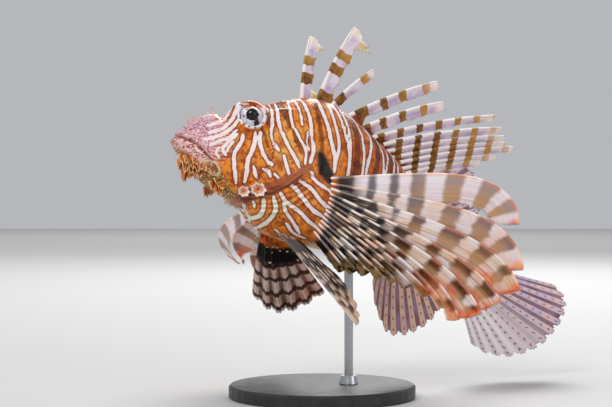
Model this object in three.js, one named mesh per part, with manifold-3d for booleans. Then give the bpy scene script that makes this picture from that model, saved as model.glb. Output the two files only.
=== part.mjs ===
// A red lionfish, life size, hovering above a plain display stand. Millimetres, +Z up.
// The origin is the middle of the stand's underside. +X runs from the snout towards the tail, and -Y is the
// fish's left side, the one that it shows.
import * as THREE from "three";
import { mergeVertices } from "three/addons/utils/BufferGeometryUtils.js";
import Module from "manifold-3d";

const wasm = await Module();
wasm.setup();
const { degToRad } = THREE.MathUtils;

// Place and size of the body.
const SNOUT = new THREE.Vector3(-88.6, -30, 158.1);
const HEAD_END = 88; // the head is parted from the trunk here, behind the gill covers
const TRUNK_END = 158; // the trunk is parted from the tail stalk here
const TAIL_END = 232; // snout to the end of the tail stalk
const SEAM = 0.3; // gap between neighbouring pieces
const RING_POINTS = 24; // corners of a cross-section
const BODY_STEP = 7; // distance between cross-sections of the trunk and the tail stalk
const WEB = 0.3; // half the thickness of a fin's membrane

// The axis of the body bends. Degrees, at a distance behind the snout.
const YAW = [[0, 12], [90, 26], [150, 40], [230, 34], [310, 18]]; // turned away
const PITCH = [[0, 8], [90, 18], [160, 28], [230, 36], [310, 38]]; // tail down
const ROLL = [[0, 12], [90, 12], [230, 6], [310, 0]]; // belly towards the side that shows

// Outlines of the body, measured from the axis at a distance behind the snout.
const BACK = [
  [-2, 0], [-1, 1.4], [0, 3], [3, 7.4], [8, 13.2], [14, 17.4], [19, 19.6], [22, 20], [24.5, 18.4], [27, 19.2],
  [30, 20.8], [38, 25], [46, 29.5], [54, 35], [63, 40], [74, 45.5], [88, 48], [100, 46.5], [112, 43],
  [125, 39.5], [145, 35], [165, 28.5], [185, 20.5], [205, 14.5], [222, 12], [232, 12.5],
];
const BELLY = [
  [-2, -2.5], [-1, -4], [1, -6.5], [5, -10.5], [11, -17], [18, -22], [27, -26.8], [36, -29.5], [44, -31.5],
  [50, -35.5], [57, -42], [64, -45.5], [76, -46.5], [90, -46], [105, -44.5], [125, -40.5], [145, -35],
  [165, -27.5], [185, -19.5], [205, -13.5], [222, -11.5], [232, -12],
];
const HALF_WIDTH = [
  [-2, 1.5], [-1, 3.5], [1, 6], [4, 9], [8, 11.5], [14, 13.6], [22, 15.4], [30, 16.8], [38, 18.3], [46, 20.2],
  [60, 23], [75, 24.8], [88, 25.2], [105, 24], [125, 21.2], [145, 17.4], [165, 13], [185, 8.8], [205, 5.6],
  [222, 4], [232, 3.3],
];
const WIDEST_LEVEL = [[0, -2], [14, -4], [30, -6], [46, -8], [60, -8], [88, -4], [125, 0], [232, 0]];

// The eyes, in their sockets.
const EYE = { station: 40.8, left: 10.1, up: 19.3, radius: 8, bulge: 1.6, lift: 0.16, ahead: 0.12 };
const EYE_SEGMENTS = [14, 9];
const EYE_RIM = { radius: 9, tube: 2.3, out: 3.4 };
const CORNEA_ROOM = { radius: 6.4, out: 4.2 }; // hollow in the rim that the cornea stands in

// The bony crest between the notch of the snout and the eye: station, distance from the middle, height.
const BROW = [[24.5, 4.5, 0], [28, 6, 3], [31, 7, 7], [34, 7.6, 8.2], [38, 8, 7.2], [43, 8.4, 4]];
const BROW_WIDTH = 3.4;

// Nostrils, two on each side, and the small flaps and spines of the head, as station and height.
const NOSTRILS = [[21, 13.5], [27, 14]];
const NOSTRIL_RADIUS = 1.1;
const CHEEK_SPINES = [[53, 2], [52.5, -7], [51, -15]];
const ROSETTES = [[43, -27, 3.4], [50, -25, 4.2]]; // and the radius
const NOSTRIL_FLAP = { station: 20.5, up: 16.8, tall: 5, forward: 1.2, outward: 0 };
const SNOUT_FLAP = { station: 7, up: 7.6, tall: 4.5, forward: 0, outward: 2 };

// Lobed flaps under the jaw: stations and heights of the root, and how far they hang.
const CHIN_FLAP = {
  stations: [4.5, 7, 9.5, 12, 14, 16],
  heights: [-8.5, -11, -13.3, -15.5, -17, -18.5],
  drop: 8.5,
};
const THROAT_FLAP = { stations: [24.5, 26.5, 28.5, 30], heights: [-22.8, -24.2, -25.2, -25.8], drop: 6.5 };

// Line of the mouth on the left side, and the back edge of the lower jaw: distance behind the snout, height.
const GAPE = [[-6, 3.2], [0, 2], [5, -0.8], [9, -2.8], [13, -5.9], [18, -9.8], [22, -13]];
const JAW_BACK = [[24, -19], [22, -31], [-6, -31]];

// Outline of a gill cover.
const GILL_COVER = [
  [56, 10], [61, 16], [68, 18], [75, 14], [80, 7], [84, -2], [81.5, -8.5], [74, -14], [65, -20.5], [56, -24],
  [53, -16], [53, -4],
];
const GILL_COVER_RAISED = 0.9;
const GILL_COVER_SUNK = 1.7;

// Dorsal spines: station of the root, degrees of lean to the rear, length, splay to the left.
const DORSAL_SPINES = [
  [74, -6, 41, 0.08], [83, 12, 56, 0.12], [91, 33, 40, 0.1], [102, 50, 72, 0.14], [113, 52, 67, 0.14],
  [121, 59, 92, 0.28], [128, 60, 92, 0.28], [134, 60, 91, 0.28], [140, 59, 89, 0.28], [145, 58, 92, 0.28],
  [150, 57, 76, 0.26], [154, 55, 62, 0.24], [158, 52, 46, 0.2],
];
const DORSAL_SPINES_FRONT = 3;

// Soft rays of the dorsal fin and of the anal fin: station of the root, degrees of lean, length.
const SOFT_DORSAL_RAYS = [
  [168, 20, 34], [171, 24, 44], [174, 28, 52], [177, 31, 57], [180, 35, 60], [183, 38, 60], [186, 41, 58],
  [189, 44, 54], [192, 47, 48], [195, 50, 41], [199, 53, 33],
];
const ANAL_RAYS = [
  [155, 0, 20], [158, 4, 30], [161, 10, 39], [165, 14, 47], [169, 18, 49], [174, 25, 48], [178, 32, 46],
  [183, 40, 43], [187, 49, 39], [191, 58, 34],
];

// Rays of the tail fin: degrees from the axis, length.
const TAIL_RAYS = [
  [23, 72], [21, 79], [18, 83], [15, 85], [11, 86], [7, 85], [2, 83], [-3, 79], [-8, 74], [-14, 68],
  [-19, 61], [-25, 53], [-31, 43],
];

// Rays of the pectoral fins. The left fin is swept back beside the body, the right one is held away from it.
// Degrees of the direction at the root (turned away, downwards) and at the tip, and the length.
const LEFT_PECTORAL = [
  [-6, -3, 4, 90, 130], [-5.6, 9.5, 5, 86, 137], [-5.5, 17.3, 5, 72, 136], [-6, 25, 6, 60, 126],
  [-5, 29, 6, 70, 120], [-4.5, 33, 6, 75, 111], [-5, 35, 6, 62, 97], [-5, 36, 5, 50, 84],
  [-4, 37, 4, 48, 71], [-3, 39, 4, 48, 61], [-2, 40, 4, 49, 52], [0, 42, 4, 50, 44], [2, 46, 6, 52, 37],
  [5, 50, 8, 54, 31],
];
const RIGHT_PECTORAL = [
  [130, 13, 43, 38, 118], [131, 19, 36, 36, 94], [118, 26, 60, 36, 98], [108, 28, 75, 38, 100],
  [100, 29, 80, 38, 98], [95, 30, 84, 37, 94], [91, 31, 86, 37, 88], [88, 32, 86, 37, 80],
  [86, 33, 85, 38, 71], [85, 34, 84, 39, 62], [84, 36, 83, 41, 53], [83, 39, 82, 43, 45],
  [81, 42, 81, 46, 38], [79, 46, 79, 50, 32],
];
const PECTORAL_ROOT = { front: 86.5, rear: 88.5, top: -9, bottom: -37 };

// Rays of the pelvic fins, in the same way. The right fin is spread, the left one is nearly closed.
const RIGHT_PELVIC = [
  [100, 41, 92, 48, 60], [93, 43, 88, 52, 66], [86, 44, 82, 52, 68], [77, 43, 74, 50, 66],
  [68, 40, 66, 46, 62], [58, 36, 57, 42, 56],
];
const LEFT_PELVIC = [
  [-22, 46, -8, 52, 72], [-16, 47, -2, 52, 70], [-9, 47, 3, 50, 66], [-2, 46, 8, 48, 60],
  [5, 44, 13, 46, 54], [12, 42, 18, 44, 47],
];

// The stand.
const BASE_RADIUS = 58;
const BASE_HEIGHT = 8;
const ROD = { station: 128, radius: 2.75, collarRadius: 6, collarHeight: 5 };

// A smooth curve through a table of places and values.
function along(table, place) {
  const last = table.length - 1;
  if (place <= table[0][0]) return table[0][1];
  if (place >= table[last][0]) return table[last][1];
  const i = table.findIndex((entry, k) => place < table[k + 1][0]);
  const slope = (k) => {
    const before = table[Math.max(k - 1, 0)];
    const after = table[Math.min(k + 1, last)];
    return (after[1] - before[1]) / (after[0] - before[0]);
  };
  const width = table[i + 1][0] - table[i][0];
  const t = (place - table[i][0]) / width;
  const ends = (2 * t ** 3 - 3 * t ** 2 + 1) * table[i][1] + (3 * t ** 2 - 2 * t ** 3) * table[i + 1][1];
  const slopes = (t ** 3 - 2 * t ** 2 + t) * slope(i) + (t ** 3 - t ** 2) * slope(i + 1);
  return ends + slopes * width;
}

// A direction given by how far it turns away and how far it points down.
function direction(away, down) {
  const a = degToRad(away);
  const d = degToRad(down);
  return new THREE.Vector3(Math.cos(d) * Math.cos(a), Math.cos(d) * Math.sin(a), -Math.sin(d));
}

// The body's own directions at a station: to the rear, up and to the left.
function frameAt(station) {
  const yaw = along(YAW, station);
  const pitch = along(PITCH, station);
  const roll = degToRad(along(ROLL, station));
  const rear = direction(yaw, pitch);
  const level = direction(yaw - 90, 0);
  const upright = new THREE.Vector3().crossVectors(level, rear);
  const up = upright.clone().multiplyScalar(Math.cos(roll)).addScaledVector(level, -Math.sin(roll));
  const left = level.clone().multiplyScalar(Math.cos(roll)).addScaledVector(upright, Math.sin(roll));
  return { rear, up, left };
}

// The axis, one point for each millimetre.
const axis = [SNOUT.clone()];
for (let i = 0; i < 330; i += 1) {
  axis.push(axis[i].clone().add(frameAt(i + 0.5).rear));
}

// A point in the body's own directions.
function bodyPoint(station, left, up) {
  const whole = Math.min(Math.max(Math.floor(station), 0), axis.length - 2);
  const frame = frameAt(station);
  return axis[whole]
    .clone()
    .addScaledVector(frameAt(whole + 0.5).rear, station - whole)
    .addScaledVector(frame.left, left)
    .addScaledVector(frame.up, up);
}

// Half the body's width at a height.
function widthAt(station, up) {
  const level = along(WIDEST_LEVEL, station);
  const end = up > level ? along(BACK, station) : along(BELLY, station);
  const part = Math.min(Math.abs((up - level) / (end - level)), 1);
  return along(HALF_WIDTH, station) * Math.sqrt(1 - part * part);
}

// A closed body from points and triangles, turned so that its faces look outwards.
function solid(points, triangles) {
  const cross = new THREE.Vector3();
  const volume = triangles.reduce(
    (sum, [a, b, c]) => sum + points[a].dot(cross.crossVectors(points[b], points[c])),
    0,
  );
  const corners = volume < 0 ? triangles.map(([a, b, c]) => [a, c, b]) : triangles;
  const mesh = new wasm.Mesh({
    numProp: 3,
    vertProperties: new Float32Array(points.flatMap((p) => [p.x, p.y, p.z])),
    triVerts: new Uint32Array(corners.flat()),
  });
  return new wasm.Manifold(mesh);
}

// A closed body from one of the library's own shapes.
function fromGeometry(geometry, matrix = new THREE.Matrix4()) {
  const bare = geometry.clone().applyMatrix4(matrix);
  bare.deleteAttribute("normal");
  bare.deleteAttribute("uv");
  const merged = mergeVertices(bare, 1e-4);
  const position = merged.getAttribute("position");
  const points = [];
  for (let i = 0; i < position.count; i += 1) {
    points.push(new THREE.Vector3().fromBufferAttribute(position, i));
  }
  const index = Array.from(merged.getIndex().array);
  const triangles = [];
  for (let i = 0; i < index.length; i += 3) {
    const corner = index.slice(i, i + 3);
    if (new Set(corner).size === 3) triangles.push(corner);
  }
  return solid(points, triangles);
}

// A body through rings of points, with flat ends.
function loft(rings) {
  const count = rings[0].length;
  const points = rings.flat();
  const triangles = [];
  for (let i = 0; i + 1 < rings.length; i += 1) {
    for (let j = 0; j < count; j += 1) {
      const a = i * count + j;
      const b = i * count + ((j + 1) % count);
      triangles.push([a, b, b + count], [a, b + count, a + count]);
    }
  }
  [0, rings.length - 1].forEach((end) => {
    const middle = new THREE.Vector3();
    rings[end].forEach((p) => middle.addScaledVector(p, 1 / count));
    const centre = points.push(middle) - 1;
    for (let j = 0; j < count; j += 1) {
      const a = end * count + j;
      const b = end * count + ((j + 1) % count);
      triangles.push(end === 0 ? [b, a, centre] : [a, b, centre]);
    }
  });
  return solid(points, triangles);
}

// A tube of changing radius through points.
function tube(path, radii, sides = 6) {
  const rings = path.map((point, i) => {
    const before = path[Math.max(i - 1, 0)];
    const after = path[Math.min(i + 1, path.length - 1)];
    const tangent = after.clone().sub(before).normalize();
    const across = new THREE.Vector3(0.31, -0.87, 0.38).cross(tangent).normalize();
    const other = new THREE.Vector3().crossVectors(tangent, across);
    return Array.from({ length: sides }, (unused, j) => {
      const angle = (2 * Math.PI * j) / sides;
      return point
        .clone()
        .addScaledVector(across, radii[i] * Math.cos(angle))
        .addScaledVector(other, radii[i] * Math.sin(angle));
    });
  });
  return loft(rings);
}

// A cross-section of the body, grown outwards by a distance.
function section(station, grow) {
  const top = along(BACK, station) + grow;
  const bottom = along(BELLY, station) - grow;
  const half = along(HALF_WIDTH, station) + grow;
  const level = along(WIDEST_LEVEL, station);
  return Array.from({ length: RING_POINTS }, (unused, j) => {
    const angle = (2 * Math.PI * j) / RING_POINTS;
    const height = Math.cos(angle) * (Math.cos(angle) > 0 ? top - level : level - bottom);
    return bodyPoint(station, half * Math.sin(angle), level + height);
  });
}

// A stretch of the body between two stations.
function stretch(from, to, grow, step) {
  const count = Math.max(2, Math.round((to - from) / step));
  const rings = [];
  for (let i = 0; i <= count; i += 1) {
    rings.push(section(from + ((to - from) * i) / count, grow));
  }
  return loft(rings);
}

// An outline in stations and heights, run through the body between two distances to the left.
function block(outline, from, to) {
  return loft([from, to].map((left) => outline.map(([station, up]) => bodyPoint(station, left, up))));
}

// The same outline, moved outwards all round by a distance.
function grown(outline, by) {
  const count = outline.length;
  const area = outline.reduce((sum, [x, y], i) => {
    const [u, v] = outline[(i + 1) % count];
    return sum + x * v - u * y;
  }, 0);
  const side = Math.sign(area);
  return outline.map(([x, y], i) => {
    const before = outline[(i + count - 1) % count];
    const after = outline[(i + 1) % count];
    const a = new THREE.Vector2(x - before[0], y - before[1]).normalize();
    const b = new THREE.Vector2(after[0] - x, after[1] - y).normalize();
    const normal = new THREE.Vector2(a.y + b.y, -(a.x + b.x)).normalize();
    const reach = (by * side) / Math.max(Math.sqrt((1 + a.dot(b)) / 2), 0.5);
    return [x + normal.x * reach, y + normal.y * reach];
  });
}

// A sheet of triangles made into a closed plate. Each point has its own half thickness.
function plate(points, halves, triangles) {
  const normals = points.map(() => new THREE.Vector3());
  triangles.forEach(([a, b, c]) => {
    const u = points[b].clone().sub(points[a]);
    const v = points[c].clone().sub(points[a]);
    const normal = u.cross(v);
    [a, b, c].forEach((corner) => normals[corner].add(normal));
  });
  normals.forEach((normal) => normal.normalize());
  const count = points.length;
  const front = points.map((p, i) => p.clone().addScaledVector(normals[i], halves[i]));
  const rear = points.map((p, i) => p.clone().addScaledVector(normals[i], -halves[i]));
  const faces = [];
  const edges = new Map();
  triangles.forEach(([a, b, c]) => {
    faces.push([a, b, c], [a + count, c + count, b + count]);
    [[a, b], [b, c], [c, a]].forEach(([p, q]) => edges.set(`${p} ${q}`, [p, q]));
  });
  edges.forEach(([p, q]) => {
    if (edges.has(`${q} ${p}`)) return;
    faces.push([q, p, p + count], [q, p + count, q + count]);
  });
  return solid([...front, ...rear], faces);
}

// Strips side by side, joined as far as a row and free beyond it, like the teeth of a comb. Each strip is a
// list of columns, and each column a list of points with half thicknesses.
function comb(strips, joined) {
  const points = [];
  const halves = [];
  const triangles = [];
  let neighbour = null;
  strips.forEach((columns) => {
    const index = columns.map((column, c) =>
      column.map(({ point, half }, r) => {
        if (c === 0 && neighbour && r <= joined) return neighbour[r];
        points.push(point);
        halves.push(half);
        return points.length - 1;
      }),
    );
    for (let c = 0; c + 1 < index.length; c += 1) {
      for (let r = 0; r + 1 < index[c].length; r += 1) {
        const corners = [index[c][r], index[c + 1][r], index[c + 1][r + 1], index[c][r + 1]];
        triangles.push([corners[0], corners[1], corners[2]], [corners[0], corners[2], corners[3]]);
      }
    }
    neighbour = index[index.length - 1];
  });
  return plate(points, halves, triangles);
}

// The middle line of a ray. Its direction turns from one to the other, mostly near the tip.
function rayLine(root, start, end, length, power, rows) {
  const steps = 48;
  const line = [root.clone()];
  for (let i = 0; i < steps; i += 1) {
    const turn = ((i + 0.5) / steps) ** power;
    const heading = start.clone().lerp(end, turn).normalize();
    line.push(line[i].clone().addScaledVector(heading, length / steps));
  }
  return rows.map((t) => {
    const place = t * steps;
    const whole = Math.min(Math.floor(place), steps - 1);
    return line[whole].clone().lerp(line[whole + 1], place - whole);
  });
}

// Small steady differences between one ray and the next.
function vary(index, amount) {
  const noise = Math.sin(index * 12.9898 + 4.1) * 43758.5453;
  return 1 + amount * 2 * (noise - Math.floor(noise) - 0.5);
}

// A fin whose membrane spans its rays, the rays being ridges on both faces. Between the tips the membrane is
// cut back a little, and beyond the first and last ray it runs on as a narrow hem.
const WEB_HEM = 0.18;
function webbedFin(lines, rows, ridge, cutBack) {
  const last = lines.length - 1;
  const strips = lines.map((line, k) => {
    const sideways = (toward, share) =>
      rows.map((t, r) => {
        const pull = r === rows.length - 1 ? cutBack : 0;
        const here = line[r].clone().lerp(line[Math.max(r - 1, 0)], pull);
        const next = toward[r].clone().lerp(toward[Math.max(r - 1, 0)], pull);
        return { point: here.lerp(next, share), half: WEB };
      });
    const middle = rows.map((t, r) => ({
      point: line[r],
      half: THREE.MathUtils.lerp(ridge, WEB, t),
    }));
    const before = k === 0 ? sideways(lines[1], -WEB_HEM) : sideways(lines[k - 1], 0.5);
    const after = k === last ? sideways(lines[last - 1], -WEB_HEM) : sideways(lines[k + 1], 0.5);
    return [before, middle, after];
  });
  return comb(strips, rows.length - 1);
}

// A fin of long vanes: each ray leads, and its own membrane trails behind it almost to the next ray. Near the
// root the membranes are joined. The tips are rounded over their last two rows.
const TIP_WIDTHS = [0.35, 0.85];
const LAST_VANE = 3; // width of the last vane, which has no neighbour
const NARROWEST = 0.8;
function vaneFin(lines, rows, { ridge, joined, lead, trail, reach, behind }) {
  const last = lines.length - 1;
  const end = rows.length - 1;
  const strips = lines.map((line, k) => {
    const next = lines[Math.min(k + 1, last)];
    const previous = lines[Math.max(k - 1, 0)];
    const across = (r) => {
      const along = line[Math.min(r + 1, end)].clone().sub(line[Math.max(r - 1, 0)]).normalize();
      const gap = k < last ? next[r].clone().sub(line[r]) : line[r].clone().sub(previous[r]);
      return gap.addScaledVector(along, -gap.dot(along));
    };
    const leadAt = (t) => lead * (1 - 0.5 * t);
    const front = rows.map((t, r) => {
      const width = across(r).normalize().multiplyScalar(-leadAt(t));
      return { point: line[r].clone().add(width), half: WEB };
    });
    const middle = rows.map((t, r) => ({
      point: line[r],
      half: THREE.MathUtils.lerp(ridge, WEB, t),
    }));
    const rear = rows.map((t, r) => {
      const free = Math.max(r - joined, 0) / (end - joined);
      const full = across(r);
      const space = k < last ? full.length() - leadAt(t) : LAST_VANE * (1 + t);
      const width = free > 0 ? Math.min(space * reach, trail) * (TIP_WIDTHS[end - r] ?? 1) : space;
      const point = line[r].clone().addScaledVector(full.normalize(), Math.max(width, NARROWEST));
      return { point: point.addScaledVector(behind, free), half: WEB };
    });
    return [front, middle, rear];
  });
  return comb(strips, joined);
}

// Only the largest closed body of several.
function largest(manifold) {
  const pieces = manifold.decompose();
  return pieces.reduce((best, piece) => (piece.volume() > best.volume() ? piece : best), pieces[0]);
}

const SUNK_FLAP = 0.8; // depth of the root of a flap or spine under the skin
const union = (pieces) => pieces.reduce((sum, piece) => sum.add(piece));
const onSide = (side, station, up, out = 0) => bodyPoint(station, side * (widthAt(station, up) + out), up);

// The whole body, and the same a seam larger, which trims every fin at its root.
const bodyClearance = stretch(-2, TAIL_END, SEAM, 2.5);
const throatClearance = stretch(45, 90, 1.4, 2.5);

// Bends a path sideways into a ridge that follows the skin.
function skinRidge(side, path, radius, out = 0) {
  const line = path.map(([station, up]) => onSide(side, station, up, out));
  const radii = path.map((entry, i) => radius * (i === 0 || i === path.length - 1 ? 0.5 : 1));
  return tube(line, radii);
}

// A thin lobed flap of skin that stands off the body. Its root line lies on the skin.
function skinFlap(root, tips, thickness) {
  const rows = [0, 0.5, 1];
  const lines = root.map((point, i) => rows.map((t) => point.clone().lerp(tips[i], t)));
  const strips = lines.slice(0, -1).map((line, k) => [
    rows.map((t, r) => ({ point: line[r], half: thickness / 2 })),
    rows.map((t, r) => ({ point: lines[k + 1][r], half: thickness / 2 })),
  ]);
  return comb(strips, rows.length - 1);
}

// Head.
const jawOutline = [...GAPE, ...JAW_BACK];
const jawBlock = (by) => block(grown(jawOutline, by), -30, 30);
const eyeCentre = (side) => bodyPoint(EYE.station, side * EYE.left, EYE.up);
const eyeTurn = (side) => {
  const { rear, up, left } = frameAt(EYE.station);
  const outward = left
    .clone()
    .multiplyScalar(side)
    .addScaledVector(up, EYE.lift)
    .addScaledVector(rear, -EYE.ahead);
  return new THREE.Quaternion().setFromUnitVectors(new THREE.Vector3(0, 0, 1), outward.normalize());
};
const ball = (side, radius) =>
  fromGeometry(
    new THREE.SphereGeometry(radius, ...EYE_SEGMENTS),
    new THREE.Matrix4().compose(eyeCentre(side), eyeTurn(side), new THREE.Vector3(1, 1, 1)),
  );

function eyeRim(side) {
  const turn = eyeTurn(side);
  const outward = new THREE.Vector3(0, 0, 1).applyQuaternion(turn);
  const centre = eyeCentre(side).addScaledVector(outward, EYE_RIM.out);
  return fromGeometry(
    new THREE.TorusGeometry(EYE_RIM.radius, EYE_RIM.tube, 6, 16),
    new THREE.Matrix4().compose(centre, turn, new THREE.Vector3(1, 1, 1)),
  );
}

// The ball bulges into a cornea in front.
function eyeBall(side) {
  const geometry = new THREE.SphereGeometry(EYE.radius, ...EYE_SEGMENTS);
  const position = geometry.getAttribute("position");
  for (let i = 0; i < position.count; i += 1) {
    const front = Math.max(position.getZ(i) / EYE.radius, 0);
    position.setZ(i, position.getZ(i) + EYE.bulge * front ** 6);
  }
  return fromGeometry(
    geometry,
    new THREE.Matrix4().compose(eyeCentre(side), eyeTurn(side), new THREE.Vector3(1, 1, 1)),
  );
}

// Both lips run round the snout just above and below the line of the mouth.
function lip(offset, radius) {
  const path = GAPE.slice(1).map(([station, up]) => [station, up + offset]);
  const points = [...path].reverse().map(([s, z]) => onSide(-1, s, z, -0.4));
  points.push(bodyPoint(-1.6, 0, GAPE[1][1] + offset));
  points.push(...path.map(([s, z]) => onSide(1, s, z, -0.4)));
  const radii = points.map((p, i) => radius * (i === 0 || i === points.length - 1 ? 0.6 : 1));
  return tube(points, radii);
}

// A small flap of skin that stands up from the snout.
function snoutFlap(side, { station, up, tall, forward, outward }) {
  const root = onSide(side, station, up, -SUNK_FLAP);
  const frame = frameAt(station);
  const tip = root
    .clone()
    .addScaledVector(frame.up, tall)
    .addScaledVector(frame.rear, -forward)
    .addScaledVector(frame.left, side * outward);
  return tube([root, root.clone().lerp(tip, 0.5), tip], [0.9, 0.8, 0.45], 4);
}

// A crest of bone over the cheek, up to the rim of the eye.
function browCrest(side) {
  const rings = BROW.map(([station, left, rise]) => {
    const level = along(WIDEST_LEVEL, station);
    const skinAt = (x) => {
      const share = x / along(HALF_WIDTH, station);
      return level + (along(BACK, station) - level) * Math.sqrt(1 - share * share);
    };
    const at = (x, lift) => bodyPoint(station, side * x, skinAt(x) + lift);
    const top = rise - 0.4;
    return [
      at(left - BROW_WIDTH, -1.4),
      at(left - BROW_WIDTH / 3, top),
      at(left + BROW_WIDTH / 3, top),
      at(left + BROW_WIDTH, -1.4),
    ];
  });
  return loft(rings);
}

function nostril(side, [station, up]) {
  const place = onSide(side, station, up, -0.2);
  return fromGeometry(
    new THREE.SphereGeometry(NOSTRIL_RADIUS, 6, 4),
    new THREE.Matrix4().setPosition(place),
  );
}

// A lobed flap that hangs from the jaw.
function hangingFlap(side, { stations, heights, drop }) {
  const root = stations.map((station, i) => onSide(side, station, heights[i], -1));
  const tips = root.map((point, i) => {
    const { rear, up, left } = frameAt(stations[i]);
    return point
      .clone()
      .addScaledVector(up, -drop * vary(i + 3, 0.25))
      .addScaledVector(rear, -1)
      .addScaledVector(left, side * 1.5);
  });
  return skinFlap(root, tips, 1.2);
}

// Spines along the edge of the cheek plate.
function cheekSpine(side, [station, up]) {
  const root = onSide(side, station, up, -SUNK_FLAP);
  const frame = frameAt(station);
  const tip = root.clone().addScaledVector(frame.rear, 4.2).addScaledVector(frame.left, side * 2.6);
  return tube([root, root.clone().lerp(tip, 0.5), tip], [1.1, 0.8, 0.35], 4);
}

// Lobed rosettes of skin on the cheek and throat.
function rosette(side, [station, up, radius]) {
  const corners = 10;
  const lobes = 5;
  const lobeDepth = 0.22;
  const frame = frameAt(station);
  const outward = onSide(side, station, up, 1).sub(bodyPoint(station, 0, up * 0.6)).normalize();
  const a = new THREE.Vector3().crossVectors(frame.rear, outward).normalize();
  const b = new THREE.Vector3().crossVectors(outward, a);
  const centre = onSide(side, station, up, 0);
  const ringAt = (lift, scale, depth) =>
    Array.from({ length: corners }, (unused, j) => {
      const angle = (2 * Math.PI * j) / corners;
      const reach = radius * scale * (1 + depth * Math.cos(lobes * angle));
      return centre
        .clone()
        .addScaledVector(outward, lift)
        .addScaledVector(a, reach * Math.cos(angle))
        .addScaledVector(b, reach * Math.sin(angle));
    });
  return loft([ringAt(-1.5, 0.5, 0), ringAt(1, 1, lobeDepth), ringAt(1.9, 0.9, lobeDepth)]);
}

const THROAT_FOLDS = [
  [[42, -28.5], [50, -28], [58, -26], [66, -20], [72, -12.5]],
  [[46, -30.5], [54, -32], [62, -30.5], [70, -24.5], [77, -17.5]],
  [[52, -35], [60, -36], [68, -34], [76, -28], [80, -22]],
];

const gillOutline = (by) => grown(GILL_COVER, by);
const gillBlock = (side, by) => block(gillOutline(by), side * 3, side * 45);
const gillInside = stretch(40, 100, -GILL_COVER_SUNK - SEAM, 5);
const gillOutside = stretch(40, 100, GILL_COVER_RAISED, 5);
const gillFloor = stretch(40, 100, -GILL_COVER_SUNK, 5);

function gillCover(side) {
  return largest(gillOutside.intersect(gillBlock(side, 0)).subtract(gillFloor));
}

function head() {
  const sides = [-1, 1];
  const skull = stretch(-2, HEAD_END, 0, 3.8);
  const additions = [
    lip(1.5, 1.7),
    ...sides.map((side) => eyeRim(side)),
    ...sides.map((side) => browCrest(side)),
    ...sides.map((side) => hangingFlap(side, THROAT_FLAP)),
    ...sides.map((side) => snoutFlap(side, NOSTRIL_FLAP)),
    ...sides.map((side) => snoutFlap(side, SNOUT_FLAP)),
    ...sides.flatMap((side) => THROAT_FOLDS.map((path) => skinRidge(side, path, 1.3, -0.3))),
    ...sides.flatMap((side) => CHEEK_SPINES.map((place) => cheekSpine(side, place))),
    ...sides.flatMap((side) => ROSETTES.map((place) => rosette(side, place))),
  ];
  const recess = sides.map((side) => gillBlock(side, SEAM).subtract(gillInside));
  const sockets = sides.map((side) => ball(side, EYE.radius + SEAM));
  const corneas = sides.map((side) => {
    const outward = new THREE.Vector3(0, 0, 1).applyQuaternion(eyeTurn(side));
    return fromGeometry(
      new THREE.SphereGeometry(CORNEA_ROOM.radius, 12, 6),
      new THREE.Matrix4().setPosition(eyeCentre(side).addScaledVector(outward, CORNEA_ROOM.out)),
    );
  });
  const nostrils = sides.flatMap((side) => NOSTRILS.map((place) => nostril(side, place)));
  const hollows = union([jawBlock(SEAM), ...recess, ...sockets, ...corneas, ...nostrils]);
  return largest(union([skull, ...additions]).subtract(hollows));
}

// Everything above the line of the mouth, which the lower jaw must not reach.
function aboveMouth() {
  const above = GAPE.map(([s, z]) => [s, z + SEAM]);
  return block([...above, [40, -13], [40, 30], [-6, 30]], -30, 30);
}

function lowerJaw() {
  const jaw = stretch(-2, 34, 0, 3).intersect(jawBlock(0));
  const flaps = [-1, 1].map((side) => hangingFlap(side, CHIN_FLAP));
  return largest(union([jaw, lip(-1.7, 1.5), ...flaps]).subtract(aboveMouth()));
}

// Trunk and tail stalk.
function trunk() {
  return stretch(HEAD_END + SEAM, TRUNK_END, 0, BODY_STEP);
}

function tailStalk() {
  return stretch(TRUNK_END + SEAM, TAIL_END, 0, BODY_STEP);
}

// Fins along the middle of the body. The direction of a ray leans to the rear.
const SPINE_ROWS = [0, 0.12, 0.24, 0.42, 0.6, 0.78, 1];
const SOFT_ROWS = [0, 0.22, 0.42, 0.6, 0.76, 0.9, 1];
const VANE_ROWS = [0, 0.18, 0.36, 0.54, 0.7, 0.83, 0.93, 1];
const SINK = 4;

function leaning(station, sign, lean, splay) {
  const { rear, up, left } = frameAt(station);
  const back = Math.sin(degToRad(lean));
  const out = Math.cos(degToRad(lean));
  return rear
    .clone()
    .multiplyScalar(back)
    .addScaledVector(up, sign * out)
    .addScaledVector(left, splay * (Math.abs(back) + Math.abs(out)))
    .normalize();
}

function middleRay([station, lean, length, splay = 0], sign, rows, curl) {
  const edge = sign > 0 ? along(BACK, station) : along(BELLY, station);
  const root = bodyPoint(station, 0, edge - sign * SINK);
  const start = leaning(station, sign, lean - curl / 2, splay);
  const end = leaning(station, sign, lean + curl, splay);
  return rayLine(root, start, end, length + SINK, 1.6, rows);
}

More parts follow.
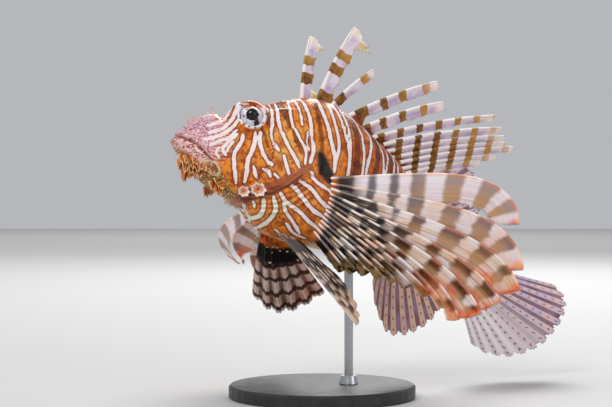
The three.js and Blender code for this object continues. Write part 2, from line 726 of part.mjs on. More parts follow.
// Each spine carries its own ribbon of membrane behind it, and the ribbons join near the back.
const SPINE = {
  front: 1.1,
  rear: 1.3,
  ridge: 1.2,
  tip: 0.45,
  ribbon: 7.2,
  narrow: 2.2,
  share: 0.72,
  curl: 8,
};
function spinyFin(spines) {
  const rows = SPINE_ROWS;
  const end = rows.length - 1;
  const joined = 2;
  const lines = spines.map((spine) => middleRay(spine, 1, rows, SPINE.curl));
  const last = lines.length - 1;
  const strips = lines.map((line, k) => {
    const { rear } = frameAt(spines[k][0]);
    const near = lines[k < last ? k + 1 : k];
    const out = (r) => {
      const along = line[Math.min(r + 1, end)].clone().sub(line[Math.max(r - 1, 0)]).normalize();
      return rear.clone().addScaledVector(along, -rear.dot(along)).normalize();
    };
    const leadAt = (t) => SPINE.front * (1 - 0.6 * t);
    const shift = (r, by, half) => ({ point: line[r].clone().addScaledVector(out(r), by), half });
    const front = rows.map((t, r) => shift(r, -leadAt(t), WEB));
    const middle = rows.map((t, r) => shift(r, 0, THREE.MathUtils.lerp(SPINE.ridge, SPINE.tip, t)));
    const behind = rows.map((t, r) => shift(r, SPINE.rear * (1 - 0.5 * t), WEB));
    const ribbon = rows.map((t, r) => {
      if (r <= joined && k < last) {
        return { point: near[r].clone().addScaledVector(out(r), -leadAt(t)), half: WEB };
      }
      const taper = (r === end ? 0.55 : 1) * (k === last ? 0.5 : 1);
      const width = SPINE.ribbon * vary(k * 9 + r, 0.22) * taper;
      const room = k < last ? near[r].clone().sub(line[r]).dot(out(r)) * SPINE.share : width;
      return shift(r, Math.max(Math.min(width, room), SPINE.narrow), WEB);
    });
    return [front, middle, behind, ribbon];
  });
  return comb(strips, joined);
}

const trimmed = (fin) => largest(fin.subtract(bodyClearance));

const dorsalFront = () => trimmed(spinyFin(DORSAL_SPINES.slice(0, DORSAL_SPINES_FRONT)));
const dorsalRear = () => trimmed(spinyFin(DORSAL_SPINES.slice(DORSAL_SPINES_FRONT)));
const softFin = (rays, sign) => {
  const lines = rays.map((ray) => middleRay(ray, sign, SOFT_ROWS, 6));
  return trimmed(webbedFin(lines, SOFT_ROWS, 0.75, 0.35));
};

function tailFin() {
  const lines = TAIL_RAYS.map(([angle, length], k) => {
    const height = 10.5 * (1 - (2 * k) / (TAIL_RAYS.length - 1));
    return SOFT_ROWS.map((t) => {
      const reach = t * (length + SINK) - SINK;
      const wide = Math.sin(degToRad(angle)) * reach;
      const place = TAIL_END + Math.cos(degToRad(angle)) * reach;
      return bodyPoint(place, 0.8 * Math.sin(k * 0.9) * t, height + wide);
    });
  });
  return trimmed(webbedFin(lines, SOFT_ROWS, 0.8, 0.22));
}

// Paired fins.
function pairedRays(table, side, roots, rows, power) {
  return table.map(([away, down, tipAway, tipDown, length], k) => {
    const share = k / (table.length - 1);
    const { station, up, sink } = roots(share);
    const root = onSide(side, station, up, -sink);
    return rayLine(root, direction(away, down), direction(tipAway, tipDown), length + sink, power, rows);
  });
}

const pectoralRoots = (share) => ({
  station: THREE.MathUtils.lerp(PECTORAL_ROOT.front, PECTORAL_ROOT.rear, share),
  up: THREE.MathUtils.lerp(PECTORAL_ROOT.top, PECTORAL_ROOT.bottom, share),
  sink: 3.5,
});
const pelvicRoots = (from, to) => (share) => ({
  station: THREE.MathUtils.lerp(from, to, share),
  up: along(BELLY, THREE.MathUtils.lerp(from, to, share)) + 2.5,
  sink: 3,
});

const PECTORAL_VANES = { ridge: 0.95, joined: 2, lead: 0.9, trail: 17, reach: 0.9 };
const PELVIC_POWER = 1.5;
const PELVIC_VANES = { ridge: 0.95, lead: 0.8, trail: 7, reach: 0.86, behind: new THREE.Vector3(0, 0.6, 0) };

function pectoral(table, side, power) {
  const lines = pairedRays(table, side, pectoralRoots, VANE_ROWS, power);
  const behind = new THREE.Vector3(0, side > 0 ? 1.4 : 0, side > 0 ? 0 : -1.4);
  return trimmed(vaneFin(lines, VANE_ROWS, { ...PECTORAL_VANES, behind }));
}

function pelvic(table, side, from, to, joined) {
  const lines = pairedRays(table, side, pelvicRoots(from, to), SOFT_ROWS, PELVIC_POWER);
  const fin = vaneFin(lines, SOFT_ROWS, { ...PELVIC_VANES, joined });
  return trimmed(fin.subtract(throatClearance));
}

// The stand: a round base and one rod, which stops a seam short of the belly.
function standBase() {
  const bevel = 1.2;
  const foot = 0.8;
  const profile = [
    [0, 0], [BASE_RADIUS - foot, 0], [BASE_RADIUS, foot], [BASE_RADIUS, BASE_HEIGHT - bevel],
    [BASE_RADIUS - bevel, BASE_HEIGHT], [0, BASE_HEIGHT],
  ].map(([x, y]) => new THREE.Vector2(x, y));
  const upright = new THREE.Matrix4().makeRotationX(Math.PI / 2);
  return fromGeometry(new THREE.LatheGeometry(profile, 40), upright);
}

function standRod() {
  const foot = bodyPoint(ROD.station, 0, along(BELLY, ROD.station));
  const low = BASE_HEIGHT + SEAM;
  const high = foot.z + 4;
  const upright = new THREE.Matrix4().makeRotationX(Math.PI / 2);
  const rod = new THREE.CylinderGeometry(ROD.radius, ROD.radius, high - low, 14);
  const collar = new THREE.CylinderGeometry(ROD.collarRadius - 1, ROD.collarRadius, ROD.collarHeight, 20);
  const placed = (geometry, height) => {
    const matrix = new THREE.Matrix4().makeTranslation(foot.x, foot.y, low + height / 2);
    return fromGeometry(geometry, matrix.multiply(upright));
  };
  const whole = placed(rod, high - low).add(placed(collar, ROD.collarHeight));
  return largest(whole.subtract(bodyClearance));
}

const SKIN = 0xb4693a;
const FIN = 0xcfa98f;
const nodes = {
  head: [head, SKIN],
  lower_jaw: [lowerJaw, 0xd9a98a],
  gill_cover_left: [() => gillCover(1), SKIN],
  gill_cover_right: [() => gillCover(-1), SKIN],
  eye_left: [() => eyeBall(1), 0xdfe3e6],
  eye_right: [() => eyeBall(-1), 0xdfe3e6],
  torso: [trunk, SKIN],
  tail: [tailStalk, SKIN],
  dorsal_fin_front: [dorsalFront, FIN],
  dorsal_fin_rear: [dorsalRear, FIN],
  soft_dorsal_fin: [() => softFin(SOFT_DORSAL_RAYS, 1), FIN],
  anal_fin: [() => softFin(ANAL_RAYS, -1), FIN],
  caudal_fin: [tailFin, FIN],
  pectoral_fin_left: [() => pectoral(LEFT_PECTORAL, 1, 4), FIN],
  pectoral_fin_right: [() => pectoral(RIGHT_PECTORAL, -1, 3), FIN],
  pelvic_fin_left: [() => pelvic(LEFT_PELVIC, 1, 71, 79, 2), FIN],
  pelvic_fin_right: [() => pelvic(RIGHT_PELVIC, -1, 65, 80, 4), FIN],
  stand_base: [standBase, 0x8a8d90],
  stand_rod: [standRod, 0xb9bcc0],
};

const group = new THREE.Group();
Object.entries(nodes).forEach(([name, [make, color]]) => {
  const { vertProperties, triVerts, numProp } = make().getMesh();
  const corners = new Float32Array((vertProperties.length / numProp) * 3);
  for (let i = 0; i < corners.length / 3; i += 1) {
    corners.set(vertProperties.subarray(i * numProp, i * numProp + 3), i * 3);
  }
  const geometry = new THREE.BufferGeometry();
  geometry.setAttribute("position", new THREE.BufferAttribute(corners, 3));
  geometry.setIndex(Array.from(triVerts));
  geometry.computeVertexNormals();
  const mesh = new THREE.Mesh(geometry, new THREE.MeshStandardMaterial({ color, roughness: 0.6 }));
  mesh.name = name;
  group.add(mesh);
});

export default group;
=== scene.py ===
# %% [markdown]
# # A red lionfish, life size, on a display stand
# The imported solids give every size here. This script dresses them: one skin over head, trunk and tail
# stalk, new eyes, fins made of fine vanes and webs, and finishes made of nodes. The solids could be painted
# as they are, but they are coarse on purpose, so each part of the fish is modelled again on the same
# curves.

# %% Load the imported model
import math

import bpy
import numpy as np
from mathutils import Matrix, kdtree


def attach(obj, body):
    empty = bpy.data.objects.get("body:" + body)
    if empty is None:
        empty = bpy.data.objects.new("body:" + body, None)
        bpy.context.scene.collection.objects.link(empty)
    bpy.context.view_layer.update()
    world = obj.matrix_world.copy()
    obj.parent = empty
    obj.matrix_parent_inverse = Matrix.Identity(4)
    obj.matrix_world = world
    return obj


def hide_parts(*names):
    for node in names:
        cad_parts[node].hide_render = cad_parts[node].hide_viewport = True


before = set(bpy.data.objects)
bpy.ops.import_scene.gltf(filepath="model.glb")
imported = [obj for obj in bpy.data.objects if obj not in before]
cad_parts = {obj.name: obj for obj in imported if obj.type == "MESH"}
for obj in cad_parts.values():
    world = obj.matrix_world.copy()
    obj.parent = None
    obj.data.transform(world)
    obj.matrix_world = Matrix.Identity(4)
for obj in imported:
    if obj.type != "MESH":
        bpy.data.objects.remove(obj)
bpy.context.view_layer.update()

MM = 0.001  # the tables below are in millimetres, Blender works in metres

# %% [markdown]
# ## The curves of the body
# A lionfish's body is a bent spindle. Its axis turns away from the viewer, dips and rolls, so every piece
# is placed by three numbers: how far behind the snout, how far to the left and how far up. The outline
# tables are the ones that the solids were made with. A smooth curve through each table keeps the body free
# of flats.

# %% Outlines of the body
SNOUT = np.array([-88.6, -30, 158.1])
NOSE = -2
TAIL_END = 232
YAW = [(0, 12), (90, 26), (150, 40), (230, 34), (310, 18)]
PITCH = [(0, 8), (90, 18), (160, 28), (230, 36), (310, 38)]
ROLL = [(0, 12), (90, 12), (230, 6), (310, 0)]
BACK = [
    (-2, 0), (-1, 1.4), (0, 3), (3, 7.4), (8, 13.2), (14, 17.4), (19, 19.6), (22, 20), (24.5, 18.4),
    (27, 19.2), (30, 20.8), (38, 25), (46, 29.5), (54, 35), (63, 40), (74, 45.5), (88, 48), (100, 46.5),
    (112, 43), (125, 39.5), (145, 35), (165, 28.5), (185, 20.5), (205, 14.5), (222, 12), (232, 12.5),
]
BELLY = [
    (-2, -2.5), (-1, -4), (1, -6.5), (5, -10.5), (11, -17), (18, -22), (27, -26.8), (36, -29.5), (44, -31.5),
    (50, -35.5), (57, -42), (64, -45.5), (76, -46.5), (90, -46), (105, -44.5), (125, -40.5), (145, -35),
    (165, -27.5), (185, -19.5), (205, -13.5), (222, -11.5), (232, -12),
]
HALF_WIDTH = [
    (-2, 1.5), (-1, 3.5), (1, 6), (4, 9), (8, 11.5), (14, 13.6), (22, 15.4), (30, 16.8), (38, 18.3),
    (46, 20.2), (60, 23), (75, 24.8), (88, 25.2), (105, 24), (125, 21.2), (145, 17.4), (165, 13),
    (185, 8.8), (205, 5.6), (222, 4), (232, 3.3),
]
WIDEST_LEVEL = [(0, -2), (14, -4), (30, -6), (46, -8), (60, -8), (88, -4), (125, 0), (232, 0)]


def along(table, place):
    """The smooth curve through a table of places and values, at one or many places."""
    places, values = np.array(table, float).T
    index = np.arange(len(places))
    before, after = np.maximum(index - 1, 0), np.minimum(index + 1, len(places) - 1)
    slopes = (values[after] - values[before]) / (places[after] - places[before])
    first = np.clip(np.searchsorted(places, place, side="right") - 1, 0, len(places) - 2)
    width = places[first + 1] - places[first]
    part = np.clip((place - places[first]) / width, 0, 1)
    ends = (2 * part**3 - 3 * part**2 + 1) * values[first] + (3 * part**2 - 2 * part**3) * values[first + 1]
    bends = (part**3 - 2 * part**2 + part) * slopes[first] + (part**3 - part**2) * slopes[first + 1]
    return ends + bends * width


def smooth(value, low, high):
    """0 below low, 1 above high and an easy slope between them."""
    part = np.clip((value - low) / (high - low), 0, 1)
    return part * part * (3 - 2 * part)


def unit(vectors):
    return vectors / np.maximum(np.linalg.norm(vectors, axis=-1, keepdims=True), 1e-9)


# %% Places on the body
def direction(away, down):
    """A direction given by how far it turns away and how far it points down, in degrees."""
    turn, dip = np.radians(away), np.radians(down)
    return np.stack([np.cos(dip) * np.cos(turn), np.cos(dip) * np.sin(turn), -np.sin(dip)], axis=-1)


def frame_at(station):
    """The body's own directions at a station: to the rear, up and to the left."""
    yaw = along(YAW, station)
    rear = direction(yaw, along(PITCH, station))
    level = direction(yaw - 90, yaw * 0)
    upright = np.cross(level, rear)
    roll = np.radians(along(ROLL, station))[..., None]
    up_way = upright * np.cos(roll) - level * np.sin(roll)
    return rear, up_way, level * np.cos(roll) + upright * np.sin(roll)


AXIS_LENGTH = 330
AXIS = np.vstack([SNOUT, SNOUT + np.cumsum(frame_at(np.arange(AXIS_LENGTH) + 0.5)[0], axis=0)])


def body_point(station, left, up):
    """A point given in the body's own directions."""
    station, left, up = np.broadcast_arrays(*(np.asarray(number, float) for number in (station, left, up)))
    whole = np.clip(np.floor(station), 0, AXIS_LENGTH - 1).astype(int)
    _, up_way, left_way = frame_at(station)
    on_axis = AXIS[whole] + frame_at(whole + 0.5)[0] * (station - whole)[..., None]
    return on_axis + left_way * left[..., None] + up_way * up[..., None]


def width_at(station, up):
    """Half the body's width at a height."""
    level = along(WIDEST_LEVEL, station)
    end = np.where(up > level, along(BACK, station), along(BELLY, station))
    part = np.clip(np.abs((up - level) / (end - level)), 0, 1)
    return along(HALF_WIDTH, station) * np.sqrt(1 - part * part)


def on_side(side, station, up, out=0.0):
    """A point on the skin, or out from it. The side is 1 for the left and -1 for the right."""
    station, up = np.asarray(station, float), np.asarray(up, float)
    return body_point(station, side * (width_at(station, up) + out), up)


print("axis runs from", AXIS[0].round(1), "to", AXIS[-1].round(1))

# %% [markdown]
# ## Meshes from grids
# Skin, vanes and webs are all curved sheets. Each starts as a grid primitive, and its corners are then set
# down on the curves, row by row. Sculpting would give the same surface by hand, but not from named sizes.
# Values that the finishes need, such as the distance to a stripe, are stored on the corners.

# %% Helpers for sheets
def sheet(name, points, values=None):
    """A grid whose corners lie at points, an array of rows and columns."""
    rows, columns = points.shape[:2]
    bpy.ops.object.select_all(action="DESELECT")
    bpy.ops.mesh.primitive_grid_add(x_subdivisions=columns - 1, y_subdivisions=rows - 1, size=1)
    piece = bpy.context.object
    piece.name = piece.data.name = name
    piece.data.vertices.foreach_set("co", (points * MM).ravel())
    for label, value in (values or {}).items():
        layer = piece.data.attributes.new(label, "FLOAT", "POINT")
        layer.data.foreach_set("value", np.broadcast_to(value, (rows, columns)).astype(float).ravel())
    piece.data.update()
    return piece


def closed(piece):
    """Corners that lie on each other merged, so that seams and poles close, and faces turned outwards."""
    bpy.ops.object.select_all(action="DESELECT")
    bpy.context.view_layer.objects.active = piece
    piece.select_set(True)
    bpy.ops.object.mode_set(mode="EDIT")
    bpy.ops.mesh.select_all(action="SELECT")
    bpy.ops.mesh.remove_doubles(threshold=2e-6)
    bpy.ops.mesh.normals_make_consistent(inside=False)
    bpy.ops.object.mode_set(mode="OBJECT")
    bpy.ops.object.shade_smooth()
    return piece


def joined(name, pieces):
    """Several pieces joined into one mesh."""
    bpy.ops.object.select_all(action="DESELECT")
    for piece in pieces:
        piece.select_set(True)
    bpy.context.view_layer.objects.active = pieces[0]
    bpy.ops.object.join()
    pieces[0].name = pieces[0].data.name = name
    return pieces[0]


def grid_normals(points):
    """The direction square to a sheet at each of its corners."""
    return unit(np.cross(np.gradient(points, axis=0), np.gradient(points, axis=1)))


def shell(name, points, half, values):
    """A thin closed body round a sheet: a grid folded over it, with both faces meeting at the border."""
    border = np.ones(half.shape)
    border[[0, -1], :] = 0
    border[:, [0, -1]] = 0
    offset = grid_normals(points) * (half * border)[..., None]
    front, rear = points + offset, (points - offset)[:, ::-1]
    folded = np.concatenate([front, rear, front[:, :1]], axis=1)
    twice = {
        label: np.concatenate([value, value[:, ::-1], value[:, :1]], axis=1)
        for label, value in ((key, np.broadcast_to(given, half.shape)) for key, given in values.items())
    }
    return sheet(name, folded, twice)


def tube(name, line, radii, sides=10, values=None):
    """A round bar of changing radius along a line, closed at both ends."""
    tangent = unit(np.gradient(line, axis=0))
    across = unit(np.cross(tangent, (0.31, -0.87, 0.38)))
    other = np.cross(tangent, across)
    angle = np.linspace(0, 2 * math.pi, sides + 1)
    ring = across[:, None] * np.cos(angle)[:, None] + other[:, None] * np.sin(angle)[:, None]
    sized = np.array(radii, float)
    sized[[0, -1]] = 0
    return sheet(name, line[:, None] + ring * sized[:, None, None], values)


def ride(piece, slot, *nodes):
    """The piece moves with the model and stands for the solids named. The slot is not used."""
    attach(piece, "root")
    if nodes:
        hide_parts(*nodes)
    print(piece.name, len(piece.data.vertices), "corners")


# %% [markdown]
# ## Measuring from drawn lines
# Folds, plates and stripes all follow lines on the skin. The relief and the markings need to know how far
# each corner of the skin is from such a line, and on which side. Straight stretches between the given
# places are near enough, because the lines are short.

# %% Distances to lines and outlines
def from_path(station, height, path):
    """Distance to an open path, above it positive and below it negative."""
    best = np.full(station.shape, 1e6)
    sign = np.ones(station.shape)
    for (start_at, start_up), (end_at, end_up) in zip(path[:-1], path[1:]):
        long, high = end_at - start_at, end_up - start_up
        part = (station - start_at) * long + (height - start_up) * high
        part = np.clip(part / (long * long + high * high), 0, 1)
        away = np.hypot(station - start_at - part * long, height - start_up - part * high)
        nearer = away < best
        best = np.where(nearer, away, best)
        sign = np.where(nearer, np.sign(long * (height - start_up) - high * (station - start_at)), sign)
    return best * sign


def inside(station, height, outline):
    """Distance to a closed outline, positive inside it."""
    within = np.zeros(station.shape, bool)
    for (start_at, start_up), (end_at, end_up) in zip(outline, outline[1:] + outline[:1]):
        if start_up != end_up:
            crossing = (end_at - start_at) * (height - start_up) / (end_up - start_up) + start_at
            within ^= ((start_up > height) != (end_up > height)) & (station < crossing)
    return np.abs(from_path(station, height, outline + outline[:1])) * np.where(within, 1, -1)


def hill(distance, width):
    """1 on a line, falling off to both sides."""
    return np.exp(-((distance / width) ** 2))


def curve(places, count):
    """A smooth curve through two or more places, as many points as asked for."""
    places = np.array(places, float)
    steps = np.linspace(0, len(places) - 1, count)
    return np.stack([along(list(enumerate(column)), steps) for column in places.T], axis=-1)


# %% [markdown]
# ## The skin
# One mesh runs from the lips to the root of the tail fin, so that no seam shows where the solids are
# parted. Rings are close together on the head and wider apart on the trunk. The folds are pushed in and out
# along the normals: the line of the mouth with its lips, the plates of the cheek and gill cover, and the
# folds of the throat. A sculpt would do this too, but here each fold has a place and a height in
# millimetres.

# %% Rings of the skin
HEAD_STEP = 0.52
TRUNK_STEP = 1.45
FINE_TO = 94
RING_CORNERS = 268

trunk_rings = np.arange(FINE_TO, TAIL_END, TRUNK_STEP)
stations = np.concatenate([np.arange(NOSE, FINE_TO, HEAD_STEP), trunk_rings, [TAIL_END]])
angles = np.linspace(0, 2 * math.pi, RING_CORNERS + 1)
station, angle = np.meshgrid(stations, angles, indexing="ij")
lift = -np.cos(angle)
widest = along(WIDEST_LEVEL, station)
up = widest + lift * np.where(lift > 0, along(BACK, station) - widest, widest - along(BELLY, station))
left = along(HALF_WIDTH, station) * np.sin(angle)
side = np.where(left >= 0, 1, -1)
bare_skin = body_point(station, left, up)
outwards = grid_normals(bare_skin)
from_middle = bare_skin - body_point(station, left * 0, widest)
outwards *= np.sign(np.sum(outwards * from_middle, axis=-1, keepdims=True))
print("skin grid:", station.shape)

# %% Folds and plates of the head
GAPE = [(-6, 3.2), (0, 2), (5, -0.8), (9, -2.8), (13, -5.9), (18, -9.8), (22, -13)]
JAW_FOLD = [(22, -13), (24.5, -18), (25, -23)]
UPPER_JAW_PLATE = [(8, -3.5), (15, -4), (21, -8), (24.5, -13.5), (22, -17.5), (18, -13.5), (12, -7.5)]
CHEEK_RIDGE = [(22, 1), (29, -1), (38, -2.5), (47, -2), (54, 1)]
CHEEK_EDGE = [(54, 12), (55.5, 3), (54.5, -6), (52.5, -13), (50, -19), (46, -23)]
GILL_COVER = [
    (56, 10), (61, 16), (68, 18), (75, 14), (80, 7), (84, -2), (81.5, -8.5), (74, -14), (65, -20.5),
    (56, -24), (53, -16), (53, -4),
]
THROAT_FOLDS = [
    [(42, -28.5), (50, -28), (58, -26), (66, -20), (72, -12.5)],
    [(44, -30), (52, -30), (60, -28.5), (68, -22.5), (75, -15)],
    [(46, -31.5), (54, -32), (62, -30.5), (70, -24.5), (77, -17.5)],
    [(50, -34), (57, -34), (65, -32.5), (73, -26.5), (79, -20)],
    [(52, -36), (60, -36.5), (68, -34.5), (76, -28.5), (81, -22)],
]
NOSTRILS = [(21, 13.5), (27, 14)]
RING_FLAP = (22.5, -16.5, 4.2, 3.0)  # place, height, and its half length and half height
PECTORAL_LOBE = (85, -24, 10, 20)  # place, height, and its half length and half height
CROWN_RIDGES = [[(46, 29), (54, 33.5), (61, 37)], [(50, 24), (57, 28), (64, 30)]]

gape = from_path(station, up, GAPE)
mouth_fade = 1 - smooth(station, 20, 24)
relief = mouth_fade * (-1.5 * hill(gape, 0.7) + 1.2 * hill(gape - 1.9, 1.2) + 1.1 * hill(gape + 2.1, 1.2))
relief += 0.8 * smooth(inside(station, up, UPPER_JAW_PLATE), -0.2, 1.6)
relief -= 0.9 * hill(from_path(station, up, JAW_FOLD), 0.9)
relief += 0.8 * hill(from_path(station, up, CHEEK_RIDGE), 1.5)
cheek_edge = from_path(station, up, CHEEK_EDGE)
relief += 0.9 * hill(cheek_edge - 1.6, 1.5) - 0.9 * hill(cheek_edge + 0.9, 0.8)
gill_edge = inside(station, up, GILL_COVER)
relief += 1.0 * smooth(gill_edge, -0.1, 1.1) - 0.9 * hill(gill_edge + 0.9, 0.8)
throat = np.full(station.shape, 9.0)
for fold in THROAT_FOLDS:
    away = from_path(station, up, fold)
    throat = np.minimum(throat, np.abs(away))
    relief += 1.1 * hill(away, 0.9) - 0.4 * hill(away - 1.6, 0.6)
for middle_at, middle_up in NOSTRILS:
    away = np.hypot(station - middle_at, up - middle_up)
    relief += 0.7 * hill(away - 1.6, 0.6) - 1.6 * hill(away, 0.9)
for ridge in CROWN_RIDGES:
    relief += 0.9 * hill(from_path(station, up, ridge), 1.3)
middle_at, middle_up, long, high = RING_FLAP
slanted = up - middle_up - 0.5 * (middle_at - station)
ring_flap = (np.hypot((station - middle_at) / long, slanted / high) - 1) * high
relief += 1.2 * hill(ring_flap, 0.6) - 0.6 * hill(ring_flap + 1.4, 0.7)
middle_at, middle_up, long, high = PECTORAL_LOBE
relief += 1.6 * smooth(1 - np.hypot((station - middle_at) / long, (up - middle_up) / high), 0, 0.7)
wrinkles = np.sin(station * 2.1 + 1.3 * np.sin(up * 0.7)) * np.sin(up * 1.7 + np.sin(station * 0.9))
relief += 0.1 * wrinkles * (1 - smooth(station, 60, 100))
relief *= smooth(station, NOSE, NOSE + 1.5)
print("relief from", relief.min().round(2), "to", relief.max().round(2), "mm")

# %% [markdown]
# ## Sockets of the eyes
# The eye sits in a raised rim, like a turret, that turns outwards, up and a little forward. Near the eye
# each corner of the skin is moved along the eye's own axis to the height that the rim has at that distance:
# low under the ball, a rounded lid at its edge, and then down into the cheek. A bony ridge leads forward
# from the rim.

# %% Eye rims and brow
EYE = {"station": 40.8, "left": 10.1, "up": 19.3, "radius": 8.0, "bulge": 1.6, "lift": 0.16, "ahead": 0.12}
# Distance from the eye's own axis, and the height of the rim there.
RIM_PROFILE = [
    (0, 1.2), (6.2, 1.6), (6.9, 3.4), (7.4, 4.9), (8.1, 5.6), (9, 5.2), (10, 3.9), (11.5, 2.1), (14, 0.2),
]
RIM_HOLD = 10.2
RIM_END = 14.5
# Place, distance from the middle and height of the bony crest that runs from the notch of the snout to the
# eye.
BROW = [(24.5, 4.5, 0), (28, 6, 3), (31, 7, 7), (34, 7.6, 8.2), (38, 8, 7.2), (43, 8.4, 4), (50, 9, 0)]
BROW_WIDTH = 2.9


def eye_place(which):
    """The middle of an eye, and the eye's outward, upward and rearward directions."""
    here = np.array(EYE["station"])
    rear, up_way, left_way = frame_at(here)
    outward = unit(left_way * which + up_way * EYE["lift"] - rear * EYE["ahead"])
    upward = unit(up_way - outward * np.dot(up_way, outward))
    middle = body_point(here, which * EYE["left"], EYE["up"])
    return middle, outward, upward, np.cross(upward, outward) * which


skin_points = bare_skin + outwards * relief[..., None]
up_ways = frame_at(station)[1]
rim = np.full(station.shape, 99.0)
over_eye = np.zeros(station.shape)
for which in (1, -1):
    from_crest = which * left - along([row[:2] for row in BROW], station)
    crest = along([(row[0], row[2]) for row in BROW], station) * hill(from_crest, BROW_WIDTH) * (lift > 0)
    skin_points += up_ways * crest[..., None]
    middle, outward, upward, rearward = eye_place(which)
    offset = skin_points - middle
    height = offset @ outward
    across = np.linalg.norm(offset - height[..., None] * outward, axis=-1)
    near = (across < RIM_END) & (height > -4) & (side == which)
    hold = np.where(near, 1 - smooth(across, RIM_HOLD, RIM_END), 0)
    target = along(RIM_PROFILE, across)
    skin_points += outward * ((target - height) * hold)[..., None]
    rim = np.where(near, across, rim)
    over_eye = np.where(near, offset @ upward, over_eye)
print("corners in the rims:", int((rim < RIM_HOLD).sum()))

# %% [markdown]
# ## Stripes
# The zebra stripes are the mark of this fish: white lines in pairs over orange and red-brown. Each line is
# given as a few places on the left side, and both sides carry it. The skin stores its distance to the
# nearest line, and the finish later turns that into a crisp edge at any zoom. Painting an image would blur
# when seen closer.

# %% Lines of the markings
# Half width, then places: distance behind the snout and height.
WHITE_LINES = [
    (1.35, [(43.5, 10), (43, -0.7), (41, -9.2), (41.5, -15.7), (42, -22)]),
    (1.25, [(36.5, 6.5), (36, 1.5), (33, -6.5), (34, -14), (37.5, -23)]),
    (1.2, [(46.5, 11), (46, 4), (49, -4.4), (54.5, -10.3)]),
    (1.1, [(33.5, 6.4), (28, -0.9), (26, -5.1), (28.5, -8.6)]),
    (0.8, [(31.5, 0.6), (29.5, -3), (28, -7.3)]),
    (1.0, [(52, 32), (52.5, 18.8), (52, 9.7), (54.5, 2.8), (57, -1)]),
    (1.2, [(55, 33), (55.5, 21.8), (57.5, 12.8), (61.5, 4.4), (67, -3.4), (70, -8.2)]),
    (1.0, [(62, 38), (63, 21.5), (67.5, 11), (72, 3.8), (73, -5.5)]),
    (0.8, [(66, 40), (68, 28.7), (69, 20.4)]),
    (1.3, [(69.5, 42), (73.5, 26.3), (75, 13.4), (76.5, 5.3), (75.5, -3.9)]),
    (0.7, [(72.5, 17), (72, 9.8), (74, 3.6)]),
    (1.45, [(79.5, 46), (81, 35.5), (84, 26), (87, 15.1), (90.5, 5), (91.5, -4)]),
    (1.2, [(85, 46.5), (89, 28.7), (92, 15.3), (91.5, 3)]),
    (1.2, [(89, 46.5), (92.5, 36), (96, 24), (99.5, 12), (100.5, -1), (100, -22), (96, -44)]),
    (1.1, [(93, 46.5), (97, 33.6), (99, 24.5), (100, 14.1), (101, 0)]),
    (1.1, [(102, 45), (107.5, 31.3), (109, 22.4), (110, 10), (109, -8), (106, -26), (103, -44)]),
    (1.2, [(111, 42), (115.5, 32.9), (115.5, 26), (114, 15.9), (112.5, 4), (113, -14), (110, -42)]),
    (1.1, [(120, 39.5), (125, 27.5), (126, 16), (126, 4), (125, -14), (121, -40)]),
    (1.0, [(126, 38), (130.5, 29), (129, 17), (127, 8)]),
    (1.1, [(134, 36.5), (137.5, 27.5), (135, 12), (135, -6), (131, -38)]),
    (1.0, [(138, 35.5), (141.5, 27), (140, 14), (141, -4), (138, -35)]),
    (1.1, [(60, -2.7), (62.5, -8.7), (65, -13.7)]),
    (1.0, [(50, -13.2), (53, -14), (55, -17.4)]),
    (1.0, [(44.5, -12.3), (46.5, -16.6), (48, -19.2)]),
    (0.9, [(56.5, -14.8), (60.5, -18)]),
    (1.3, [(66, -18.8), (70, -20.2), (76, -24.7), (84, -29.3), (93.5, -31.2)]),
    (1.3, [(72, -15.5), (79, -18.2), (87.5, -23.6), (95.5, -25.7)]),
    (1.1, [(71.5, -8.8), (77, -8.7), (82, -13.7), (93, -16.3)]),
    (1.2, [(62.5, -24.9), (67, -29.1), (75, -31.7), (84, -35.5), (93, -37.8)]),
    (1.1, [(66, -30.2), (69.5, -34.5), (77, -39.1), (84, -43)]),
    (1.4, [(59.5, -27.8), (63, -34.3), (62, -40.8), (59, -44)]),
    (1.4, [(54.5, -29.2), (56.5, -34.7), (56, -38.9), (52, -39)]),
    (1.0, [(50, -30.8), (52.5, -34.4)]),
    (1.2, [(45.5, -31), (49, -35), (52.5, -38.5)]),
    (1.25, [(34.5, 21.9), (30, 14.8), (24, 7.8), (17, 4.1)]),
    (1.2, [(35, 25), (28.5, 17.6), (22.5, 12), (16, 8.6)]),
    (1.25, [(33, 14.2), (28.5, 7.9), (22, 2.2), (15, -0.5)]),
    (1.1, [(33.5, 9.7), (28.5, 2.5), (23, -0.8), (18.5, -3.6)]),
    (0.9, [(24, -4.5), (22.5, -7.5), (25, -10.5)]),
    (1.0, [(72, -40), (80, -43.5), (90, -44)]),
    (1.0, [(68, -44), (78, -46.4), (92, -46)]),
]
# Dark bars that lie between the pairs.
DARK_LINES = [
    (1.2, [(49, 31.5), (49.5, 24), (50, 17)]),
    (2.5, [(57.5, 38), (58, 31), (61.5, 22), (65.5, 13)]),
    (1.1, [(46.5, 14.5), (48.8, 8), (51.2, 0)]),
    (1.4, [(64, 14), (66, 9), (70, 1)]),
    (1.5, [(77, 44), (78.5, 28), (81, 14), (83, 2)]),
    (2.6, [(98, 46.5), (103, 32), (104.8, 18), (105, 4), (104, -14), (100, -40)]),
    (2.2, [(117, 41), (120.5, 28), (120.5, 15), (119, 2), (118, -14), (115, -40)]),
    (2.4, [(131, 37.5), (134, 24), (131.5, 8), (130.5, -10), (127, -38)]),
]
# Each pair on the tail stalk has two white lines and a dark bar behind them.
TAIL_PAIRS = 6
TAIL_PAIR_START = 150
TAIL_PAIR_STEP = 14
TAIL_WHITES = (0, 5.2)
TAIL_BAR = 9.6

